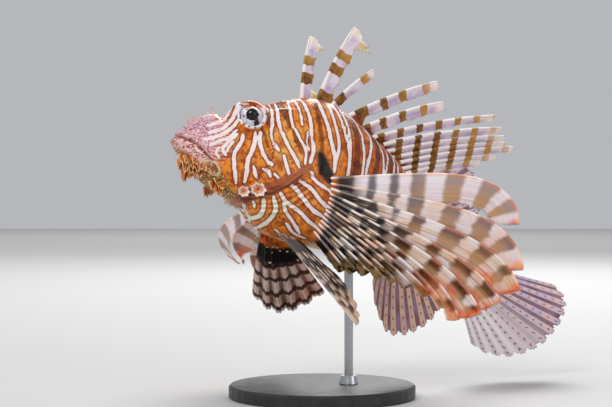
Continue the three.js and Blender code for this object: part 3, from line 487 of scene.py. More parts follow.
for pair in range(TAIL_PAIRS):
    for shift in TAIL_WHITES + (TAIL_BAR,):
        at = TAIL_PAIR_START + TAIL_PAIR_STEP * pair + shift
        top, bottom = float(along(BACK, at)), float(along(BELLY, at))
        if shift == TAIL_BAR:
            DARK_LINES.append((2.0 - 0.12 * pair, [(at - 3, top), (at + 1, 0), (at - 3, bottom)]))
        else:
            line = [(at - 3, top), (at + 1.5, top * 0.5), (at + 1, 0), (at - 3, bottom)]
            WHITE_LINES.append((1.0 - 0.05 * pair, line))


FARTHEST = 8.0  # distances beyond this make no difference to the finishes
PLACES_PER_CORNER = 14
OTHER_SIDE_SHIFT = 0.9  # how far the lines of the right side stray from those of the left


def distance_to_lines(points, lines):
    """How far each point is outside the nearest of the lines drawn on both sides, inside them negative."""
    places, widths = [], []
    for half, line in lines:
        drawn = curve(line, PLACES_PER_CORNER * len(line))
        ends = np.linspace(-1, 1, len(drawn))
        for which in (1, -1):
            shift = 0 if which == 1 else OTHER_SIDE_SHIFT
            shifted = drawn[:, 0] + shift * np.sin(drawn[:, 1] * 0.35)
            height = np.clip(drawn[:, 1], along(BELLY, shifted) + 0.05, along(BACK, shifted) - 0.05)
            places.append(on_side(which, shifted, height))
            widths.append(half * (1 - 0.35 * ends**8))
    places, widths = np.concatenate(places), np.concatenate(widths)
    tree = kdtree.KDTree(len(places))
    for number, place in enumerate(places):
        tree.insert(place, number)
    tree.balance()
    flat = points.reshape(-1, 3)
    result = np.empty(len(flat))
    for number, point in enumerate(flat):
        _, index, away = tree.find(point)
        result[number] = away - widths[index]
    return np.minimum(result, FARTHEST).reshape(points.shape[:-1])


white = distance_to_lines(bare_skin, WHITE_LINES)
dark = distance_to_lines(bare_skin, DARK_LINES)
print(f"skin inside a white line: {(white < 0).mean():.0%}, inside a dark bar: {(dark < 0).mean():.0%}")

# %% [markdown]
# ## Zones of the skin
# The ground under the stripes changes over the body: pale pink with hair-fine red lines on the snout, olive
# net on the chin, plain red-brown on the throat's membrane, bright orange on the cheek and dark red on the
# trunk. Each zone is a value from 0 to 1 on the corners, with a soft edge.

# %% Zones
CHIN_TOP = [
    (0, -4.5), (6.5, -8.5), (12, -11.5), (17, -13.5), (21, -13), (26, -15.5), (31, -21), (36, -26),
    (43, -28.4),
]
MEMBRANE = [
    (41, -27), (49, -23), (56, -19.5), (64, -15), (71, -8.5), (76.5, -3.8), (78, -7), (72.5, -13), (66, -21),
    (58, -28), (48, -31.5), (41, -31.5),
]
SNOUT_LINE_PITCH = 2.05
AXIL = [(79, 6), (82.5, 6), (87, 1), (91, -5), (92.5, -13), (88, -12), (83, -9), (80, -4)]

snout_ground = (up - 0.42 * (station - 10) + 0.012 * (station - 8) ** 2) / SNOUT_LINE_PITCH
lips_fade = np.where(gape < 0, 1 - smooth(-gape, 4.5, 7), hill(gape, 3.2))
zones = {
    "white": white,
    "dark": dark,
    "snout": 1 - smooth(np.hypot(station - 6, (up - 4) * 0.9), 15, 29),
    "snout_lines": snout_ground + 0.22 * np.sin(station * 0.45 + up * 0.3),
    "chin": smooth(-from_path(station, up, CHIN_TOP), -0.6, 1.2) * (1 - smooth(station, 41, 47)),
    "lips": (1 - smooth(station, 18, 24)) * lips_fade,
    "mouth": hill(gape, 0.55) * mouth_fade,
    "throat": throat,
    "membrane": smooth(inside(station, up, MEMBRANE), -0.8, 0.8),
    "axil": smooth(inside(station, up, AXIL), -1.2, 1.0),
    # Painted highlight: a soft patch on the gill cover where more gold is mixed in.
    "gold_and_painted_highlight": hill(np.hypot(station - 64, (up - 6) * 0.8), 13),
    "trunk": smooth(station + 0.25 * np.abs(up), 88, 112),
    "breast": smooth(station, 42, 47) * (1 - smooth(station, 66, 74)) * smooth(-up, 26, 30),
    "belly": smooth(up / along(BELLY, station), 0.72, 0.98) * smooth(station, 90, 100),
    "rim": rim,
    "over_eye": over_eye,
    "ring_flap": ring_flap,
}

# %% Make the skin
nose_tip, tail_tip = (
    np.broadcast_to(body_point(*place), (1,) + skin_points.shape[1:])
    for place in ((NOSE - 0.9, 0, -1.2), (TAIL_END + 1.2, 0, 0))
)
skin_rows = np.concatenate([nose_tip, skin_points, tail_tip])
skin_values = {label: np.concatenate([value[:1], value, value[-1:]]) for label, value in zones.items()}
skin = closed(sheet("fish_skin", skin_rows, skin_values))
ride(skin, "skin", "head", "lower_jaw", "gill_cover_left", "gill_cover_right", "torso", "tail")

# %% [markdown]
# ## Nodes for the finishes
# Every finish is built from the same few steps: read a value from the mesh, mix two colours, or make an edge
# uneven. A small class gives them short names, and lets values be added and multiplied like numbers, so that
# a finish reads as a few lines of sums. Linking each node by hand would give the same tree in far more lines.

# %% Values and colours in a node tree
def paint(red, green, blue):
    """A colour from screen values of 0 to 255."""
    tones = np.array((red, green, blue)) / 255
    linear = np.where(tones <= 0.04045, tones / 12.92, ((tones + 0.055) / 1.055) ** 2.4)
    return (*linear.tolist(), 1.0)


class Value:
    """What a node puts out. It can be used in sums like a number."""

    def __init__(self, tree, socket):
        self.tree = tree
        self.socket = socket

    def maths(self, operation, *others):
        return self.tree.node("ShaderNodeMath", 0, dict(enumerate((self, *others))), operation=operation)

    def ramp(self, low, high, start=0.0, end=1.0):
        """A soft step from start to end, as the value goes from low to high."""
        given = {"Value": self, "From Min": low, "From Max": high, "To Min": start, "To Max": end}
        return self.tree.node("ShaderNodeMapRange", "Result", given, interpolation_type="SMOOTHSTEP")

    def __add__(self, other):
        return self.maths("ADD", other)

    def __sub__(self, other):
        return self.maths("SUBTRACT", other)

    def __mul__(self, other):
        return self.maths("MULTIPLY", other)

    def __truediv__(self, other):
        return self.maths("DIVIDE", other)

    def __neg__(self):
        return self.maths("MULTIPLY", -1.0)

    def __abs__(self):
        return self.maths("ABSOLUTE")

    def rest(self):
        """What is missing to 1."""
        return self.maths("MULTIPLY_ADD", -1.0, 1.0)

    def stripes(self, pitch, half, soft):
        """1 on thin lines that repeat as the value grows."""
        return abs((self / pitch).maths("FRACT") - 0.5).ramp(half, half + soft, 1.0, 0.0)


class Tree:
    """A node tree, with a short name for each kind of node that the finishes use."""

    def __init__(self, tree):
        self.tree = tree

    def node(self, kind, output, given, **settings):
        """A new node with its settings and the values given to its sockets."""
        node = self.tree.nodes.new(kind)
        for label, value in settings.items():
            setattr(node, label, value)
        for label, value in given.items():
            self.put(value, node.inputs[label])
        return Value(self, node.outputs[output])

    def put(self, value, socket):
        if isinstance(value, Value):
            self.tree.links.new(value.socket, socket)
        else:
            socket.default_value = value

    def place(self):
        return self.node("ShaderNodeTexCoord", "Object", {})

    def read(self, label):
        """A value that is stored on the mesh."""
        return self.node("ShaderNodeAttribute", "Fac", {}, attribute_name=label)

    def noise(self, size, detail=2.0, roughness=0.5):
        """Soft noise whose blotches are about size millimetres across."""
        given = {"Vector": self.place(), "Scale": 0.5 / (size * MM), "Detail": detail, "Roughness": roughness}
        return self.node("ShaderNodeTexNoise", "Fac", given)

    def cells(self, size, feature="F1"):
        """Distance pattern of cells about size millimetres across."""
        given = {"Vector": self.place(), "Scale": 1 / (size * MM)}
        return self.node("ShaderNodeTexVoronoi", "Distance", given, feature=feature)

    def spots(self, size, low, high):
        """1 in round spots, one in each cell."""
        return self.cells(size).ramp(low, high, 1.0, 0.0)

    def net(self, size, low, high):
        """1 on the borders of cells."""
        return self.cells(size, "DISTANCE_TO_EDGE").ramp(low, high, 1.0, 0.0)

    def use(self, group, **values):
        """A node group placed in the tree with its own values."""
        return self.node("ShaderNodeGroup", 0, values, node_tree=group)

    def mottled(self, light, dark, amount=1.0):
        return self.use(mottle, Light=light, Dark=dark, Amount=amount)


def mix(share, first, second):
    """The first colour where share is 0, and the second where it is 1."""
    given = {"Factor": share, 6: first, 7: second}
    return share.tree.node("ShaderNodeMix", 2, given, data_type="RGBA")


# %% Node groups that the finishes share
def new_group(name, result, kind, **given):
    """An empty node group: its tree, its given values in order, and the socket of its result."""
    group = bpy.data.node_groups.new(name, "ShaderNodeTree")
    for label, value in given.items():
        given_kind = "NodeSocketColor" if isinstance(value, tuple) else "NodeSocketFloat"
        group.interface.new_socket(label, in_out="INPUT", socket_type=given_kind).default_value = value
    group.interface.new_socket(result, in_out="OUTPUT", socket_type=kind)
    tree = Tree(group)
    values = [Value(tree, socket) for socket in group.nodes.new("NodeGroupInput").outputs]
    return tree, values, group.nodes.new("NodeGroupOutput").inputs[0]


def uneven_edge_group():
    """1 inside a distance of 0, with an edge that wanders."""
    given = {"Distance": 0.0, "Waver": 0.5, "Softness": 0.2}
    tree, values, result = new_group("uneven_edge", "Mask", "NodeSocketFloat", **given)
    distance, waver, softness = values[:3]
    shifted = distance + (tree.noise(1.8) - 0.5) * waver * 3.0
    tree.put(shifted.ramp(-softness, softness, 1.0, 0.0), result)
    return tree.tree


def mottle_group():
    """Two colours in soft blotches with finer specks."""
    colours = {"Light": (1.0, 1.0, 1.0, 1.0), "Dark": (0.0, 0.0, 0.0, 1.0)}
    tree, values, result = new_group("mottle", "Color", "NodeSocketColor", **colours, Amount=1.0)
    light, dark, amount = values[:3]
    blotches = tree.noise(2.6, 4.0, 0.6).ramp(0.36, 0.64)
    specks = tree.noise(0.7, 3.0, 0.6).ramp(0.4, 0.7)
    tree.put(mix((specks * 0.4 + blotches * 0.7) * amount, light, dark), result)
    return tree.tree


def grain_group():
    """Height of fine pebbles, like small scales, under finer noise."""
    tree, values, result = new_group("grain", "Height", "NodeSocketFloat", Pebbles=1.0, Fineness=0.5)
    pebbles, fineness = values[:2]
    tree.put(tree.cells(1.0, "SMOOTH_F1") * pebbles + tree.noise(0.35, 3.0) * fineness, result)
    return tree.tree


uneven_edge, mottle, grain = uneven_edge_group(), mottle_group(), grain_group()


# %% Materials
class Finish(Tree):
    """A material's node tree. Values that are the same all over are set on the shader itself."""

    def __init__(self, name, roughness, coat=0.0, **uniform):
        self.material = bpy.data.materials.new(name)
        self.material.use_nodes = True
        super().__init__(self.material.node_tree)
        self.shader = self.tree.nodes["Principled BSDF"].inputs
        self.shader["Roughness"].default_value = roughness
        self.shader["Coat Weight"].default_value = coat
        for label, value in uniform.items():
            self.shader[label.replace("_", " ")].default_value = value

    def relief(self, height, millimetres):
        """Relief too fine for the mesh."""
        given = {"Distance": millimetres * MM, "Strength": 1.0, "Height": height}
        self.put(self.node("ShaderNodeBump", "Normal", given), self.shader["Normal"])

    def set(self, **values):
        """Values that change over the surface."""
        for label, value in values.items():
            self.put(value, self.shader[label.replace("_", " ")])


def dress(piece, finish):
    piece.data.materials.clear()
    piece.data.materials.append(finish.material)


print("node groups:", [group.name for group in bpy.data.node_groups])

# %% [markdown]
# ## The skin's finish
# From the ground up: mottled orange that deepens to red-brown on the trunk, dark bars, the zones of the
# head, and the white lines with a thin dark margin, as on the living fish. Wet skin has a soft gloss, so
# the coat is light and smooth over a rougher base.

# %% Colours of the skin
ORANGE = paint(220, 112, 20)
BRIGHT_ORANGE = paint(250, 150, 44)
GOLD = paint(250, 186, 88)
RUST = paint(160, 66, 14)
TRUNK_BROWN = paint(138, 54, 12)
MARGIN_BROWN = paint(118, 44, 15)
RED_BROWN = paint(108, 38, 9)
DARK_RED = paint(50, 15, 7)
WHITE = paint(246, 236, 234)
GREENISH_WHITE = paint(230, 227, 206)
PINK_WHITE = paint(244, 212, 204)
LILAC_PINK = paint(206, 170, 204)
OLIVE = paint(206, 172, 96)
NET_BROWN = paint(86, 46, 18)
MEMBRANE_BROWN = paint(176, 96, 54)
CREAM = paint(232, 226, 190)
EYE_BLUE = paint(212, 219, 236)
BLACK = paint(12, 9, 8)


# %% The ground, the bars and the white lines
def trunk_colour(look):
    """Mottled orange with gold blotches and more gold on the gill cover as a painted highlight, dark bars and
    a pale belly.
    """
    head = look.mottled(BRIGHT_ORANGE, RUST, 1.15)
    colour = mix(look.read("trunk"), head, look.mottled(ORANGE, TRUNK_BROWN, 1.15))
    # Gold blotches of the skin's own tone, plus a painted highlight of more gold on the gill cover.
    gold_and_painted_highlight = look.noise(3.4, 3.0) + look.read("gold_and_painted_highlight") * 0.17
    colour = mix(gold_and_painted_highlight.ramp(0.56, 0.7, 0.0, 0.65), colour, GOLD)
    bars = look.use(uneven_edge, Distance=look.read("dark"), Waver=0.7, Softness=0.7)
    colour = mix(bars * 0.78, colour, look.mottled(RED_BROWN, DARK_RED))
    colour = mix(look.read("belly"), colour, look.mottled(CREAM, ORANGE, 0.8))
    return mix(look.read("white").ramp(0.1, 1.5, 0.85, 0.0), colour, MARGIN_BROWN)


def snout_colour(look):
    """Pale pink with fine red lines that turn into a net of plum on the nose."""
    snout = look.read("snout")
    lilac = look.mottled(PINK_WHITE, LILAC_PINK)
    front = snout.ramp(0.8, 1.0)
    colour = mix(front * 0.7, look.mottled(PINK_WHITE, paint(238, 190, 176), 0.7), lilac)
    lines = (look.read("snout_lines") + look.noise(5.0, 1.0)).stripes(1.0, 0.17, 0.08)
    colour = mix(lines, colour, look.mottled(paint(222, 106, 48), paint(176, 66, 44)))
    netted = mix(look.net(1.9, 0.04, 0.14), lilac, paint(158, 72, 84))
    colour = mix(snout.ramp(0.86, 1.0, 0.0, 0.8), colour, netted)
    return mix(look.spots(1.5, 0.2, 0.3) * front * 0.6, colour, paint(112, 50, 76))


def with_white_lines(look, colour):
    """The white lines, greenish below, on all but the chin and the throat's membrane."""
    whites = look.use(uneven_edge, Distance=look.read("white") + 0.06, Waver=0.42, Softness=0.14)
    plain = look.read("chin").maths("MAXIMUM", look.read("membrane")).rest()
    pale = mix(look.read("breast"), look.mottled(WHITE, PINK_WHITE, 0.7), GREENISH_WHITE)
    return mix(whites * plain, colour, pale)


# %% The finish of the whole skin
def with_mouth(look, colour):
    """Pink lips with red rings, a ringed flap, and the dark line of the mouth."""
    rings = abs(look.cells(2.8) - 0.36).ramp(0.06, 0.13, 1.0, 0.0)
    lips = mix(rings, look.mottled(PINK_WHITE, paint(232, 176, 178)), paint(160, 58, 34))
    colour = mix(look.read("lips") * 0.9, colour, lips)
    flap = abs(look.read("ring_flap")).ramp(0.35, 0.8, 1.0, 0.0)
    colour = mix(flap, colour, look.mottled(PINK_WHITE, OLIVE))
    return mix(look.read("mouth"), colour, paint(110, 40, 30))


def with_throat(look, colour):
    """Brown folded membrane on the throat, and black where the breast fin leaves the body."""
    folds = look.read("throat").ramp(0.3, 1.1, 0.85, 0.0)
    membrane = mix(folds, look.mottled(MEMBRANE_BROWN, paint(140, 66, 30), 0.6), paint(92, 34, 14))
    colour = mix(look.read("membrane"), colour, membrane)
    return mix(look.read("axil"), colour, mix(look.noise(1.6, 3.0).ramp(0.45, 0.6), BLACK, DARK_RED))


def with_eye_rim(look, colour):
    """White with brown spots round the eye, under an orange lid."""
    ring = (look.read("rim") + look.noise(2.2, 3.0)).ramp(9.2, 10.1, 1.0, 0.0)
    rim = mix(look.spots(2.6, 0.26, 0.38), look.mottled(WHITE, EYE_BLUE), paint(150, 66, 24))
    lid = (look.noise(1.8, 3.0) * 7.0 + look.read("over_eye")).ramp(9.2, 10.2)
    return mix(ring, colour, mix(lid, rim, look.mottled(paint(214, 106, 36), RED_BROWN)))


def skin_finish():
    look = Finish("lionfish_skin", 0.42, coat=0.16, Coat_Roughness=0.22, Specular_IOR_Level=0.25)
    colour = mix(look.read("snout"), trunk_colour(look), snout_colour(look))
    chin = mix(look.net(2.1, 0.05, 0.16), look.mottled(OLIVE, paint(214, 132, 54), 0.9), NET_BROWN)
    colour = mix(look.read("chin"), colour, chin)
    for part in (with_white_lines, with_mouth, with_throat, with_eye_rim):
        colour = part(look, colour)
    look.set(Base_Color=colour, Roughness=look.noise(1.2, 3.0) * 0.25 + 0.3)
    look.relief(look.use(grain, Pebbles=0.8, Fineness=0.35), 0.25)
    return look


dress(skin, skin_finish())

# %% [markdown]
# ## Flaps, rosettes and feelers of the head
# A lionfish breaks up its outline with loose flaps of skin: lobed leaves on the chin, frilled rosettes at
# the corner of the jaw and small feelers over the nose and eyes. A leaf is a folded grid that fans out from
# a line on the skin, a rosette is a frilled dish, and a feeler is a bent tube that may fork.

# %% Leaves of the chin
# Side, places of the root line as station and height, how far it hangs, number of lobes.
LEAVES = [
    (1, [(4.5, -8.5), (8, -12), (12, -15.5), (16, -18.5)], 9, 5),
    (1, [(6.5, -9.2), (10, -12.5), (14.5, -15.8)], 6.5, 4),
    (1, [(10.5, -10.5), (14, -13.5), (18.5, -16.5)], 4.6, 4),
    (1, [(24, -22.5), (27, -24.5), (30, -25.8)], 7.5, 3),
    (1, [(25, -21), (28, -23), (31, -24.6)], 4.5, 3),
    (1, [(17, -12.5), (20.5, -15.5), (25, -18.5)], 4.5, 4),
    (-1, [(5, -9), (9, -13), (13.5, -16.5)], 8, 3),
    (-1, [(24, -22.5), (28, -25)], 6, 3),
    (1, [(52, 0.5), (55.5, 1.2), (58.5, 0.6)], 3.4, 3),
]
LEAF_ROWS, LEAF_COLUMNS = 57, 12


def leaf(which, places, drop, lobes, number):
    """A lobed flap that hangs from a line on the skin."""
    share = np.linspace(0, 1, LEAF_ROWS)
    root_places = curve(places, LEAF_ROWS)
    root = on_side(which, root_places[:, 0], root_places[:, 1], -0.6)
    rear, up_way, left_way = frame_at(root_places[:, 0])
    warped = share * lobes + 0.16 * np.sin(share * 9 + number * 2.1)
    notched = 0.5 + 0.5 * np.abs(np.sin(math.pi * warped)) ** 0.6
    notched *= 1 + 0.2 * np.sin(np.floor(warped) * 2.3 + number)
    frilled = notched * (1 + 0.07 * np.sin(share * 63 + number) + 0.06 * rng.standard_normal(LEAF_ROWS))
    long = drop * np.sin(math.pi * np.clip(share, 0.02, 0.98)) ** 0.45 * frilled
    spread = (share - 0.5) * drop * 0.55
    hang = np.linspace(0, 1, LEAF_COLUMNS)[None, :, None]
    down = -up_way * long[:, None] + rear * spread[:, None] + left_way * (which * 0.34 * long)[:, None]
    ripple = 1.1 * np.sin(warped * 2 * math.pi + 1 + number)[:, None, None] * hang**1.5
    points = root[:, None] + down[:, None] * hang + left_way[:, None] * which * ripple
    cross = hang[..., 0] * long[:, None]
    values = {"edge": long[:, None] - cross, "vein": 0.5 + share[:, None] * lobes}
    return shell("leaf", points, 0.22 + 0 * cross, values)


rng = np.random.default_rng(3)
leaves = closed(joined("fish_chin_flaps", [leaf(*row, number) for number, row in enumerate(LEAVES)]))
ride(leaves, "skin")

# %% Rosettes at the corner of the jaw
# Station, height and radius.
ROSETTES = [(43, -26.6, 3.6), (50, -25, 4.7)]
STAND_OFF = 2.0  # how far a rosette stands off the skin


def rosette(which, at, height, radius):
    """A frilled dish that stands a little off the skin."""
    turn = np.linspace(0, 2 * math.pi, 73)[None, :]
    share = np.linspace(0, 1, 12)[:, None]
    rear, up_way, left_way = frame_at(np.array(float(at)))
    outward = unit(left_way * which - up_way * 0.35 - rear * 0.15)
    middle = on_side(which, at, height) + outward * STAND_OFF
    upward = unit(up_way - outward * np.dot(up_way, outward))
    frill = 1 + share**2 * (0.1 * np.sin(turn * 7) + 0.06 * np.sin(turn * 16 + at))
    lift = 1.5 * share**1.5 + 0.6 * share**2 * np.sin(turn * 7 + 1) - 2.6 * (1 - share) ** 2
    flat = rear * (np.cos(turn) * share * frill)[..., None]
    flat = flat + upward * (np.sin(turn) * share * frill * 0.85)[..., None]
    points = middle + flat * radius + outward * lift[..., None]
    back = middle + flat * radius * 0.94 + outward * (lift - 0.5)[..., None]
    rows = np.concatenate([points, back[::-1]])
    rows[[0, -1]] = [points[0, 0] + 0 * turn[0][:, None], back[0, 0] + 0 * turn[0][:, None]]
    inner = np.concatenate([share, share[::-1]]) + 0 * turn
    values = {"edge": (1 - inner) * radius, "vein": turn * 7 / (2 * math.pi)}
    return sheet("rosette", rows, values)


rosettes = [rosette(which, *row) for which in (1, -1) for row in ROSETTES]
rosettes = closed(joined("fish_rosettes", rosettes))
ride(rosettes, "skin")

# %% Feelers and small spines
# Side, station, height, length, lean to the front, number of forks.
FEELERS = [
    (1, 6, 11.2, 5.2, 0.5, 2), (1, 8.6, 12.6, 4.2, -0.2, 1), (-1, 7, 11.5, 4.6, 0.3, 2),
    (1, 20.5, 18.2, 5.6, 0.8, 2), (-1, 20.5, 18.2, 5, 0.6, 1), (1, 31.5, 25, 3, 0.2, 1),
    (1, 11, -4, 2.6, 0.5, 1), (1, 15.5, -7, 2.8, 0.4, 1), (1, 2, -7.5, 2.4, 0.6, 1),
]
# Values of a part that is too thin to have veins or a margin.
PLAIN = {"edge": 9.0, "vein": 0.0}
CHEEK_SPINES = [(53, 3), (53.5, -6), (52, -13.5), (36, -2), (44, -1.6)]


def feeler(which, at, height, long, forward, forks):
    """A soft feeler that bends forward and may fork at its tip."""
    top = float(along(BACK, at))
    root = on_side(which, at, min(height, top - 0.5), -0.5)
    rear, up_way, left_way = frame_at(np.array(float(at)))
    share = np.linspace(0, 1, 12)[:, None]
    way = up_way if height > 0 else -up_way * 0.9
    bend = -rear * forward * long * share**2 + left_way * which * 0.35 * long * share
    stem = root + way * long * share + bend
    pieces = [tube("stem", stem, 0.5 - 0.3 * share[:, 0] ** 0.7, 8, PLAIN)]
    for _ in range(forks - 1):
        branch = stem[6] + (rear * 0.55 + way * 0.8) * long * 0.42 * share + rear * 0.5 * share**2
        pieces.append(tube("fork", branch, 0.34 - 0.2 * share[:, 0], 8, PLAIN))
    return pieces


def cheek_spine(which, at, height):
    """A short bony spine that lies back on the cheek."""
    root = on_side(which, at, height, -0.4)
    rear, up_way, left_way = frame_at(np.array(float(at)))
    share = np.linspace(0, 1, 9)[:, None]
    line = root + rear * 3.4 * share + left_way * which * (1.9 * share - 0.5 * share**2)
    return tube("spine", line, 0.62 * (1 - 0.9 * share[:, 0]), 8, PLAIN)


feelers = [piece for row in FEELERS for piece in feeler(*row)]
feelers += [cheek_spine(which, *row) for which in (1, -1) for row in CHEEK_SPINES]
feelers = closed(joined("fish_feelers", feelers))
ride(feelers, "skin")

# %% Finish of the flaps
def flap_finish(name, inner, dark, margin, hem=1.2):
    """Mottled inside, with dark veins and a pale margin."""
    look = Finish(name, 0.45, coat=0.2, Coat_Roughness=0.3, Subsurface_Weight=0.15, Subsurface_Scale=0.001)
    colour = look.mottled(inner, ORANGE, 0.8)
    veins = look.read("vein") + look.noise(2.0) * 0.35
    veins = abs(veins.maths("FRACT") - 0.5).ramp(0.08, 0.17, 0.85, 0.0)
    colour = mix(look.read("edge").ramp(0.4, hem, 0.9, 0.0), mix(veins, colour, dark), margin)
    look.set(Base_Color=colour)
    look.relief(look.noise(0.6, 3.0), 0.12)
    return look


dress(leaves, flap_finish("lionfish_chin_flap", paint(176, 112, 44), NET_BROWN, paint(240, 196, 140)))
dress(rosettes, flap_finish("lionfish_rosette", paint(252, 214, 178), paint(206, 104, 44), WHITE, 2.4))
dress(feelers, flap_finish("lionfish_feeler", PINK_WHITE, PINK_WHITE, PINK_WHITE))

# %% [markdown]
# ## Eyes
# Each eye is a ball that bulges in front into the clear cornea. A sphere primitive already has the right
# rings, so only the front is drawn out and the ball is turned to face outwards. The pattern round the pupil
# is read from the place on the ball, so it turns with the eye.

# %% Model the eyes
PUPIL_WAY = np.array([-0.04, -0.16, 1])  # rearward, upward and outward
PUPIL_RADIUS = 3.75
EYE_MERIDIANS, EYE_RINGS = 72, 60


def eye_ball(name, which):
    """The ball of an eye, with the values that its pattern is drawn from."""
    middle, outward, upward, rearward = eye_place(which)
    bpy.ops.object.select_all(action="DESELECT")
    bpy.ops.mesh.primitive_uv_sphere_add(segments=EYE_MERIDIANS, ring_count=EYE_RINGS, radius=EYE["radius"])
    ball = bpy.context.object
    ball.name = ball.data.name = name
    places = np.empty(len(ball.data.vertices) * 3)
    ball.data.vertices.foreach_get("co", places)
    places = places.reshape(-1, 3)
    front = np.clip(places[:, 2] / EYE["radius"], 0, 1)
    from_pupil = EYE["radius"] * np.arccos(np.clip(places @ unit(PUPIL_WAY) / EYE["radius"], -1, 1))
    values = {"from_pupil": from_pupil, "eye_rear": places[:, 0].copy(), "eye_up": places[:, 1].copy()}
    places[:, 2] += EYE["bulge"] * front**6
    turned = middle + places @ np.stack([rearward, upward, outward])
    ball.data.vertices.foreach_set("co", (turned * MM).ravel())
    for label, value in values.items():
        ball.data.attributes.new(label, "FLOAT", "POINT").data.foreach_set("value", value)
    return closed(ball)


def eye_finish():
    """Black pupil, silvery iris with brown spots, an orange patch above and a black one below."""
    look = Finish("lionfish_eye", 0.3, coat=0.6, Coat_Roughness=0.02, Specular_IOR_Level=0.1)
    rearward, height = look.read("eye_rear"), look.read("eye_up")
    iris = mix(look.noise(2.2).ramp(0.4, 0.6), WHITE, paint(196, 206, 224))
    colour = mix(look.spots(2.7, 0.27, 0.38), iris, paint(146, 72, 34))
    above = (height + look.noise(1.6, 3.0) * 2.0).ramp(3.9, 4.7)
    colour = mix(above, colour, paint(206, 100, 32))
    squared = (rearward - 3.6).maths("POWER", 2.0) + (height + 5.0).maths("POWER", 2.0)
    below = (squared.maths("SQRT") + look.noise(1.2, 3.0)).ramp(2.2, 2.7, 1.0, 0.0)
    colour = mix(below, colour, paint(40, 24, 18))
    pupil = look.read("from_pupil").ramp(PUPIL_RADIUS, PUPIL_RADIUS + 0.2, 1.0, 0.0)
    look.set(Base_Color=mix(pupil, colour, BLACK))
    look.relief(look.noise(0.5), 0.01)
    return look


eye_look = eye_finish()
for which, name in ((1, "eye_left"), (-1, "eye_right")):
    ball = eye_ball("fish_" + name, which)
    dress(ball, eye_look)
    ride(ball, "eye", name)

# %% [markdown]
# ## Rays of the fins
# Every fin hangs on rays, and each ray is a smooth line: it starts in one direction and turns to another
# towards its tip. The tables give root, directions and length, as in the solids. The render uses the same
# lines with many more rows, and adds what the solids leave out: the ridge of each ray, ragged edges and
# gentle waves.

# %% Tables of the rays
# Root station, degrees of lean to the rear, length, splay to the left.
DORSAL_SPINES = [
    (74, -6, 41, 0.08), (83, 12, 56, 0.12), (91, 33, 40, 0.1), (102, 50, 72, 0.14), (113, 52, 67, 0.14),
    (121, 59, 92, 0.28), (128, 60, 92, 0.28), (134, 60, 91, 0.28), (140, 59, 89, 0.28), (145, 58, 92, 0.28),
    (150, 57, 76, 0.26), (154, 55, 62, 0.24), (158, 52, 46, 0.2),
]
DORSAL_SPINES_FRONT = 3
# Root station, degrees of lean, length.
SOFT_DORSAL_RAYS = [
    (168, 20, 34), (171, 24, 44), (174, 28, 52), (177, 31, 57), (180, 35, 60), (183, 38, 60), (186, 41, 58),
    (189, 44, 54), (192, 47, 48), (195, 50, 41), (199, 53, 33),
]
ANAL_RAYS = [
    (155, 0, 20), (158, 4, 30), (161, 10, 39), (165, 14, 47), (169, 18, 49), (174, 25, 48), (178, 32, 46),
    (183, 40, 43), (187, 49, 39), (191, 58, 34),
]
# Degrees from the axis, length.
TAIL_RAYS = [
    (23, 72), (21, 79), (18, 83), (15, 85), (11, 86), (7, 85), (2, 83), (-3, 79), (-8, 74), (-14, 68),
    (-19, 61), (-25, 53), (-31, 43),
]
# Degrees of the direction at the root (turned away, downwards), the same at the tip, and the length.
LEFT_PECTORAL = [
    (-6, -3, 4, 90, 130), (-5.6, 9.5, 5, 86, 137), (-5.5, 17.3, 5, 72, 136), (-6, 25, 6, 60, 126),
    (-5, 29, 6, 70, 120), (-4.5, 33, 6, 75, 111), (-5, 35, 6, 62, 97), (-5, 36, 5, 50, 84),
    (-4, 37, 4, 48, 71), (-3, 39, 4, 48, 61), (-2, 40, 4, 49, 52), (0, 42, 4, 50, 44), (2, 46, 6, 52, 37),
    (5, 50, 8, 54, 31),
]
RIGHT_PECTORAL = [
    (130, 13, 43, 38, 118), (131, 19, 36, 36, 94), (118, 26, 60, 36, 98), (108, 28, 75, 38, 100),
    (100, 29, 80, 38, 98), (95, 30, 84, 37, 94), (91, 31, 86, 37, 88), (88, 32, 86, 37, 80),
    (86, 33, 85, 38, 71), (85, 34, 84, 39, 62), (84, 36, 83, 41, 53), (83, 39, 82, 43, 45),
    (81, 42, 81, 46, 38), (79, 46, 79, 50, 32),
]
PECTORAL_ROOT = {"front": 86.5, "rear": 88.5, "top": -9, "bottom": -37, "sink": 3.5}
PELVIC_LIFT, PELVIC_SINK = 2.5, 3
RIGHT_PELVIC = [
    (100, 41, 92, 48, 60), (93, 43, 88, 52, 66), (86, 44, 82, 52, 68), (77, 43, 74, 50, 66),
    (68, 40, 66, 46, 62), (58, 36, 57, 42, 56),
]
LEFT_PELVIC = [
    (-22, 46, -8, 52, 72), (-16, 47, -2, 52, 70), (-9, 47, 3, 50, 66), (-2, 46, 8, 48, 60),
    (5, 44, 13, 46, 54), (12, 42, 18, 44, 47),
]
SINK = 4  # how far the middle fins reach into the body
RAY_STEPS = 96


# %% Lines of the rays
def ray_line(root, start, end, length, power, rows):
    """The middle line of a ray. Its direction turns from one to the other, mostly near the tip."""
    turn = ((np.arange(RAY_STEPS) + 0.5) / RAY_STEPS) ** power
    heading = unit(start + (end - start) * turn[:, None])
    line = np.vstack([root, root + np.cumsum(heading, axis=0) * length / RAY_STEPS])
    at = np.arange(RAY_STEPS + 1)
    return np.stack([np.interp(rows * RAY_STEPS, at, column) for column in line.T], axis=-1)


def leaning(station, sign, lean, splay):
    """The direction of a ray on the back (sign 1) or the belly (sign -1) that leans to the rear."""
    rear, up_way, left_way = frame_at(np.array(float(station)))
    back, out = math.sin(math.radians(lean)), math.cos(math.radians(lean))
    return unit(rear * back + up_way * sign * out + left_way * splay * (abs(back) + abs(out)))


